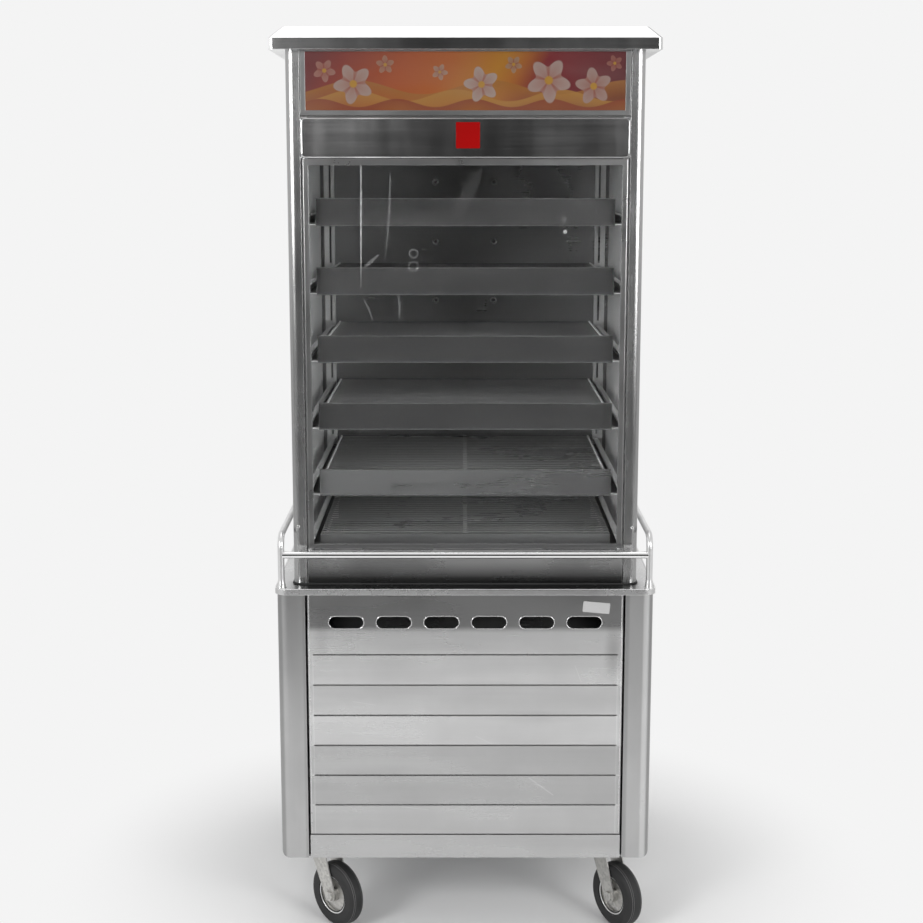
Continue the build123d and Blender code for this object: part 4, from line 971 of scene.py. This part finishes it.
# %% Seam round the chamber's foot
seam_radius = 0.002
seam_out = seam_radius / 2
casing_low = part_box("upper_left_casing")[0]
foot_corner = 0.014
foot_path = rounded_path(-casing_low.x + seam_out, -casing_low.y + seam_out, foot_corner + seam_out,
                         deck_high.z + seam_out)
bead("foot_seam", [foot_path], seam_radius, tyre_rubber_and_shade, "cabinet", closed=True)
print("foot seam", len(foot_path), "points")

# %% [markdown]
# ## Tread lines and rim rings
#
# A tyre's tread has fine moulded lines, and the rim inside it a ring of lighter steel, a
# painted highlight as well as wear, with a black bead of painted shade in its groove.
# Each is a circle round the axle, once on either side of the wheel. Every fork has swivelled
# its own way, so the helper takes the wheel's direction as an angle.

# %% Tread lines and rim rings
caster_turns = {"front_left": -45.0, "front_right": -56.0, "rear_left": 35.0, "rear_right": 140.0}
# each ring is: its name, how far from the wheel's middle, how far from the axle, radius, finish, slot
wheel_rings = (
    ("tread_{}_1", 0.008, 0.062, 0.0004, dusty_rubber, "wheel_tyre"),
    ("tread_{}_2", 0.011, 0.0607, 0.0005, dusty_rubber, "wheel_tyre"),
    ("rim_ring_{}", 0.0132, 0.0365, 0.0012, edge_wear_and_sheen_steel, "wheel_rim"),
    # painted shade: a black bead stands for the shade in the rim's groove
    ("rim_groove_{}", 0.0126, 0.0338, 0.0011, tyre_rubber_and_shade, "wheel_rim"),
)


def hoop(centre, turn, out, reach, steps=48):
    """A circle round an axle that lies across the direction turn, at out along the axle."""
    trail = Vector((math.cos(math.radians(turn)), math.sin(math.radians(turn)), 0))
    axle = Vector((-trail.y, trail.x, 0))
    return [centre + axle * out + trail * (reach * math.cos(math.tau * k / steps))
            + Vector((0, 0, reach * math.sin(math.tau * k / steps))) for k in range(steps)]


for side, turn in caster_turns.items():
    low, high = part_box(f"caster_{side}_tyre")
    centre = (low + high) / 2
    for name, out, reach, radius, finish, slot in wheel_rings:
        circles = [hoop(centre, turn, out * way, reach) for way in (-1, 1)]
        bead(name.format(side), circles, radius, finish, f"wheel_{side}", closed=True)
print("tread lines and rim rings on", len(caster_turns), "wheels")

# %% [markdown]
# ## Wire ends
#
# The racks' wires are spot welded to the frame, which leaves a small blob at each end. All the
# blobs of one rack are one piece, which slides with it.

# %% Wire ends
wire_pitch = 0.02
wire_drop = 0.021
blob_radius = 0.0028


def blobs(name, spots, radius, finish, body):
    """Small weld blobs, one at each spot, as one piece."""
    shape = bmesh.new()
    for spot in spots:
        bmesh.ops.create_icosphere(shape, subdivisions=1, radius=radius, matrix=Matrix.Translation(spot))
    for face in shape.faces:
        face.smooth = True
    return mesh_piece(name, shape, finish, body)


for number in range(1, 7):
    low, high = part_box(f"rack_{number}")
    wire_level = high.z - wire_drop - 0.0005
    count = int((high.y - low.y - wire_pitch) // wire_pitch)
    rows = [low.y + wire_pitch * (k + 1) for k in range(count)]
    ends = [(side * (rack_half - 0.004), y, wire_level) for side in (-1, 1) for y in rows]
    # the blobs take the lighter edge steel, a painted highlight as well as wear
    blobs(f"rack_{number}_wire_ends", ends, blob_radius, edge_wear_and_sheen_steel, f"rack_{number}")
print(2 * count, "weld blobs on each rack")

# %% [markdown]
# ## Tile and sticker
#
# A red enamel tile sits on the header and a white sticker on the base. Each is a thin bmesh
# plate with rounded corners and a softened rim. They take their depth from the sheet they sit
# on, so they touch it.


# %% Tile and sticker
def tile(name, middle, wide, high, thick, turn, rounding, finish):
    """A thin plate on a front face, with rounded corners and a softened rim."""
    shape = bmesh.new()
    bmesh.ops.create_cube(shape, size=1.0, matrix=Matrix.Diagonal((wide, thick, high, 1)))
    uprights = [e for e in shape.edges if abs(e.verts[0].co.y - e.verts[1].co.y) > thick / 2]
    bmesh.ops.bevel(shape, geom=uprights, offset=rounding, segments=5, profile=0.5, affect="EDGES")
    rims = [e for e in shape.edges if all(v.co.y < 0 for v in e.verts)]
    bmesh.ops.bevel(shape, geom=rims, offset=thick * 0.3, segments=2, profile=0.5, affect="EDGES")
    place_at = Matrix.Translation(middle) @ Matrix.Rotation(math.radians(turn), 4, "Y")
    bmesh.ops.transform(shape, matrix=place_at, verts=shape.verts)
    return mesh_piece(name, shape, finish, "cabinet")


header_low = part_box("header_fascia")[0]
red_enamel = moulded("red enamel", (0.33, 0.003, 0.003, 1), (0.25, 0.003, 0.003, 1), 0.42, 400.0, 0.00004)
red_enamel.node_tree.nodes["Principled BSDF"].inputs["Specular IOR Level"].default_value = 0.06
tile("header_tile", (0.0046, header_low.y - 0.0005, 1.5121), 0.043, 0.046, 0.001, 0, 0.0015, red_enamel)
sticker_white = moulded("sticker white", grey(0.46), grey(0.4), 0.5, 600.0, 0.00003)
tile("base_sticker", (0.2433, panel_low.y - 0.0001, 0.6517), 0.05, 0.0205, 0.0002, 5, 0.0015, sticker_white)
print("tile and sticker")

# %% [markdown]
# ## Screw heads
#
# Screws hold the panels. A pan head is a profile turned round its axis, as on a lathe, with a
# round socket in its middle.


# %% Screw heads
def screw_heads(name, spots, facing):
    """Pan heads with a round socket, turned on a lathe: facing is -1 at the front, 1 at the rear."""
    profile = ((0.0, -0.0006), (0.0011, -0.0006), (0.0013, 0.0009), (0.0022, 0.0007), (0.0029, 0.0002),
               (0.003, -0.0003))
    steps = 20
    shape = bmesh.new()
    for spot in spots:
        rings = []
        for radius, out in profile:
            rings.append([shape.verts.new((spot[0] + radius * math.cos(math.tau * k / steps),
                                           spot[1] + facing * out,
                                           spot[2] + radius * math.sin(math.tau * k / steps)))
                          for k in range(steps if radius else 1)])
        for inner, outer in zip(rings, rings[1:]):
            for k in range(steps):
                quad = (inner[k % len(inner)], inner[(k + 1) % len(inner)], outer[(k + 1) % steps], outer[k])
                shape.faces.new(tuple(dict.fromkeys(quad)))
    bmesh.ops.recalc_face_normals(shape, faces=shape.faces)
    return mesh_piece(name, shape, fitting_steel, "cabinet")


front_spots = [(-0.3105, casing_low.y, 0.7975), (0.3105, casing_low.y, 0.7955)]
screw_heads("front_screws", front_spots, -1)
# each rear panel is: its node, and the heights of its screws
rear_panels = (("upper_rear_panel", (0.72, 0.95, 1.18, 1.41, 1.635)), ("base_rear_panel", (0.2, 0.42, 0.655)))
rear_spots = [(side * 0.2845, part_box(panel)[1].y, z) for panel, heights in rear_panels
              for side in (-1, 1) for z in heights]
screw_heads("rear_screws", rear_spots, 1)
print(len(front_spots) + len(rear_spots), "screws")

# %% [markdown]
# ## Runs on the door
#
# A glass door that is wiped with a wet cloth keeps a few dried runs. They are thin ribbons of
# film a fifth of a millimetre in front of the glass. Their alpha comes from noise, so that
# each run breaks up and fades.

# %% Runs on the door
film_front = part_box("door_glass")[0].y - 0.0002


def film_material(name, strength):
    """Dried water: white, dull and mostly clear."""
    made, tree, shader = material(name)
    where = add(tree, "TexCoord").outputs["Object"]
    broken = add(tree, "TexNoise", Vector=where, Scale=90.0, Detail=3.0)
    alpha = add(tree, "MapRange", Value=broken.outputs[0], _1=0.3, _2=0.65, _3=strength * 0.45, _4=strength)
    tint = blend(tree, broken.outputs[0], grey(0.78), grey(0.9))
    tree.links.new(tint, shader.inputs["Base Color"])
    tree.links.new(alpha.outputs[0], shader.inputs["Alpha"])
    shader.inputs["Roughness"].default_value = 0.7
    return made


def ribbon(name, points, width, finish):
    """A flat run of film on the door, narrow at both ends."""
    shape = bmesh.new()
    rows = []
    for index, (x, z) in enumerate(points):
        share = index / (len(points) - 1)
        half = width / 2 * max(0.15, math.sin(math.pi * min(1.0, share + 0.12)) ** 0.4)
        rows.append([shape.verts.new((x - half, film_front, z)), shape.verts.new((x + half, film_front, z))])
    for above, below in zip(rows, rows[1:]):
        shape.faces.new((above[0], below[0], below[1], above[1]))
    return mesh_piece(name, shape, finish, "door")


bright_film = film_material("dried run", 0.5)
faint_film = film_material("faint run", 0.13)
broad_film = film_material("broad smear", 0.03)
ribbon("door_run_1", [(-0.1872 - 0.0024 * k / 12, 1.4634 - 0.2234 * k / 12) for k in range(13)], 0.003,
       bright_film)
ribbon("door_run_2", [(-0.1354 - 0.0102 * (k / 10) ** 2, 1.4422 - 0.1517 * k / 10) for k in range(11)],
       0.0035, faint_film)
ribbon("door_run_3", [(-0.1225 + 0.003 * math.sin(3 * k / 8), 1.2273 - 0.0455 * k / 8) for k in range(9)],
       0.004, faint_film)
ribbon("door_run_4", [(-0.1844 + 0.016 * math.sin(1.5 * k / 8), 1.2182 - 0.0455 * k / 8) for k in range(9)],
       0.004, faint_film)
ribbon("door_run_5", [(-0.018 + 0.05 * k / 10, 1.366 + 0.096 * k / 10) for k in range(11)], 0.026, broad_film)
ribbon("door_run_6", [(-0.158 - 0.034 * k / 8, 1.3 - 0.032 * k / 8) for k in range(9)], 0.008, faint_film)
print("six dried runs")

# %% [markdown]
# ## Rings and spots on the door
#
# A drop that dries leaves a ring, because its film gathers at the rim. A flat annulus shows it,
# and one with almost no hole is a spot.


# %% Rings and spots on the door
def ring(name, middle, radius, width, finish):
    """A dried ring on the door, as a flat annulus."""
    steps = 28
    shape = bmesh.new()
    rounds = []
    for reach in (radius, radius - width):
        rounds.append([shape.verts.new((middle[0] + reach * math.cos(math.tau * k / steps), film_front,
                                        middle[1] + reach * math.sin(math.tau * k / steps)))
                       for k in range(steps)])
    for k in range(steps):
        after = (k + 1) % steps
        shape.faces.new((rounds[0][k], rounds[0][after], rounds[1][after], rounds[1][k]))
    return mesh_piece(name, shape, finish, "door")


ring("door_ring_1", (-0.094, 1.302), 0.009, 0.003, faint_film)
ring("door_ring_2", (-0.094, 1.279), 0.01, 0.003, faint_film)
ring("door_spot_1", (0.178, 1.3635), 0.005, 0.0048, faint_film)
ring("door_spot_2", (0.18, 1.341), 0.0035, 0.0034, bright_film)
print("two rings and two spots")

# %% [markdown]
# ## The studio floor
#
# The cabinet stands on a pale floor, which its base mirrors. Two to three metres in front of it,
# towards the camera, the floor darkens. Away from the cabinet, the camera sees a plain haze
# instead of the floor, so that floor and backdrop meet without a line.

# %% Floor
white = 0.905
floor_near = 0.8
floor_dim = 0.07
floor_material, tree, shader = material("studio floor")
where = add(tree, "TexCoord").outputs["Object"]
forward = sum_of(tree, add(tree, "SeparateXYZ", _0=where).outputs["Y"], -1.0, "MULTIPLY")
dim = add(tree, "MapRange", {"interpolation_type": "SMOOTHSTEP"}, Value=forward, _1=2.1, _2=2.9)
tree.links.new(blend(tree, dim.outputs[0], grey(floor_near), grey(floor_dim)), shader.inputs["Base Color"])
shader.inputs["Roughness"].default_value = 0.8
reach = add(tree, "VectorMath", {"operation": "LENGTH"}, _0=where).outputs["Value"]
far = add(tree, "MapRange", {"interpolation_type": "SMOOTHSTEP"}, Value=reach, _1=0.42, _2=0.9)
seen = sum_of(tree, far.outputs[0], add(tree, "LightPath").outputs["Is Camera Ray"], "MULTIPLY")
haze = add(tree, "Emission", Color=grey(white), Strength=1.0)
either = add(tree, "MixShader", _0=seen, _1=shader.outputs[0], _2=haze.outputs[0])
tree.links.new(either.outputs[0], tree.nodes["Material Output"].inputs["Surface"])
floor_mesh = bpy.data.meshes.new("studio_floor")
floor_shape = bmesh.new()
bmesh.ops.create_grid(floor_shape, x_segments=1, y_segments=1, size=14.0)
floor_shape.to_mesh(floor_mesh)
floor_shape.free()
floor_mesh.materials.append(floor_material)
floor = bpy.data.objects.new("studio_floor", floor_mesh)
bpy.context.scene.collection.objects.link(floor)
print("floor", floor_mesh.name)

# %% [markdown]
# ## The room
#
# Polished steel shows whatever is around it, so the room matters as much as the lamps. The
# backdrop and the side walls are white and the ceiling is a little darker. Only the end behind
# the camera is dark, and that is what the flat fronts of the upper cabinet mirror, while its
# rounded corners mirror the white walls. The camera itself always sees white.

# %% Room
dark_end = 0.03
world = bpy.data.worlds.new("studio room")
bpy.context.scene.world = world
world.use_nodes = True
tree = world.node_tree
backdrop = tree.nodes["Background"]
direction = add(tree, "SeparateXYZ", _0=add(tree, "TexCoord").outputs["Generated"])
sideways = add(tree, "Math", {"operation": "ABSOLUTE"}, _0=direction.outputs["X"]).outputs[0]
smooth = {"interpolation_type": "SMOOTHSTEP"}
walls = add(tree, "MapRange", smooth, Value=sideways, _1=0.55, _2=0.9).outputs[0]
behind = add(tree, "MapRange", smooth, Value=direction.outputs["Y"], _1=-0.1, _2=0.4).outputs[0]
ceiling = add(tree, "MapRange", smooth, Value=direction.outputs["Z"], _1=0.3, _2=0.7).outputs[0]
pale = sum_of(tree, sum_of(tree, walls, behind, "MAXIMUM"), ceiling, "MAXIMUM")
upper_share = add(tree, "MapRange", Value=ceiling, _1=0.0, _2=1.0, _3=white, _4=white * 0.8).outputs[0]
level = add(tree, "MapRange", Value=pale, _1=0.0, _2=1.0, _3=dark_end, _4=upper_share).outputs[0]
room_colour = add(tree, "CombineColor", _0=level, _1=level, _2=level).outputs[0]
tree.links.new(blend(tree, add(tree, "LightPath").outputs["Is Camera Ray"], room_colour, grey(white)),
               backdrop.inputs["Color"])
backdrop.inputs["Strength"].default_value = 1.0
print("room made")

# %% [markdown]
# ## The lamps
#
# Two square soft boxes stand left and right of the camera, and a larger one hangs above. Soft
# boxes suit steel, because each shows in the sheet as a broad light and not as a spark.


# %% Lamps
def softbox(name, spot, aim, wide, high, watts):
    """A rectangular soft lamp at spot, turned towards aim."""
    data = bpy.data.lights.new(name, "AREA")
    data.shape = "RECTANGLE"
    data.size = wide
    data.size_y = high
    data.energy = watts
    lamp = bpy.data.objects.new(name, data)
    lamp.location = spot
    lamp.rotation_euler = (Vector(aim) - Vector(spot)).to_track_quat("-Z", "Y").to_euler()
    bpy.context.scene.collection.objects.link(lamp)
    return lamp


softbox("key_box", (-2.3, -3.1, 1.9), (0, 0, 1.0), 1.2, 1.2, 62)
softbox("fill_box", (2.3, -3.0, 1.7), (0, 0, 1.0), 1.2, 1.2, 54)
softbox("top_box", (0, 0.3, 4.2), (0, 0, 0), 2.5, 2.5, 32)
print("three soft lamps")
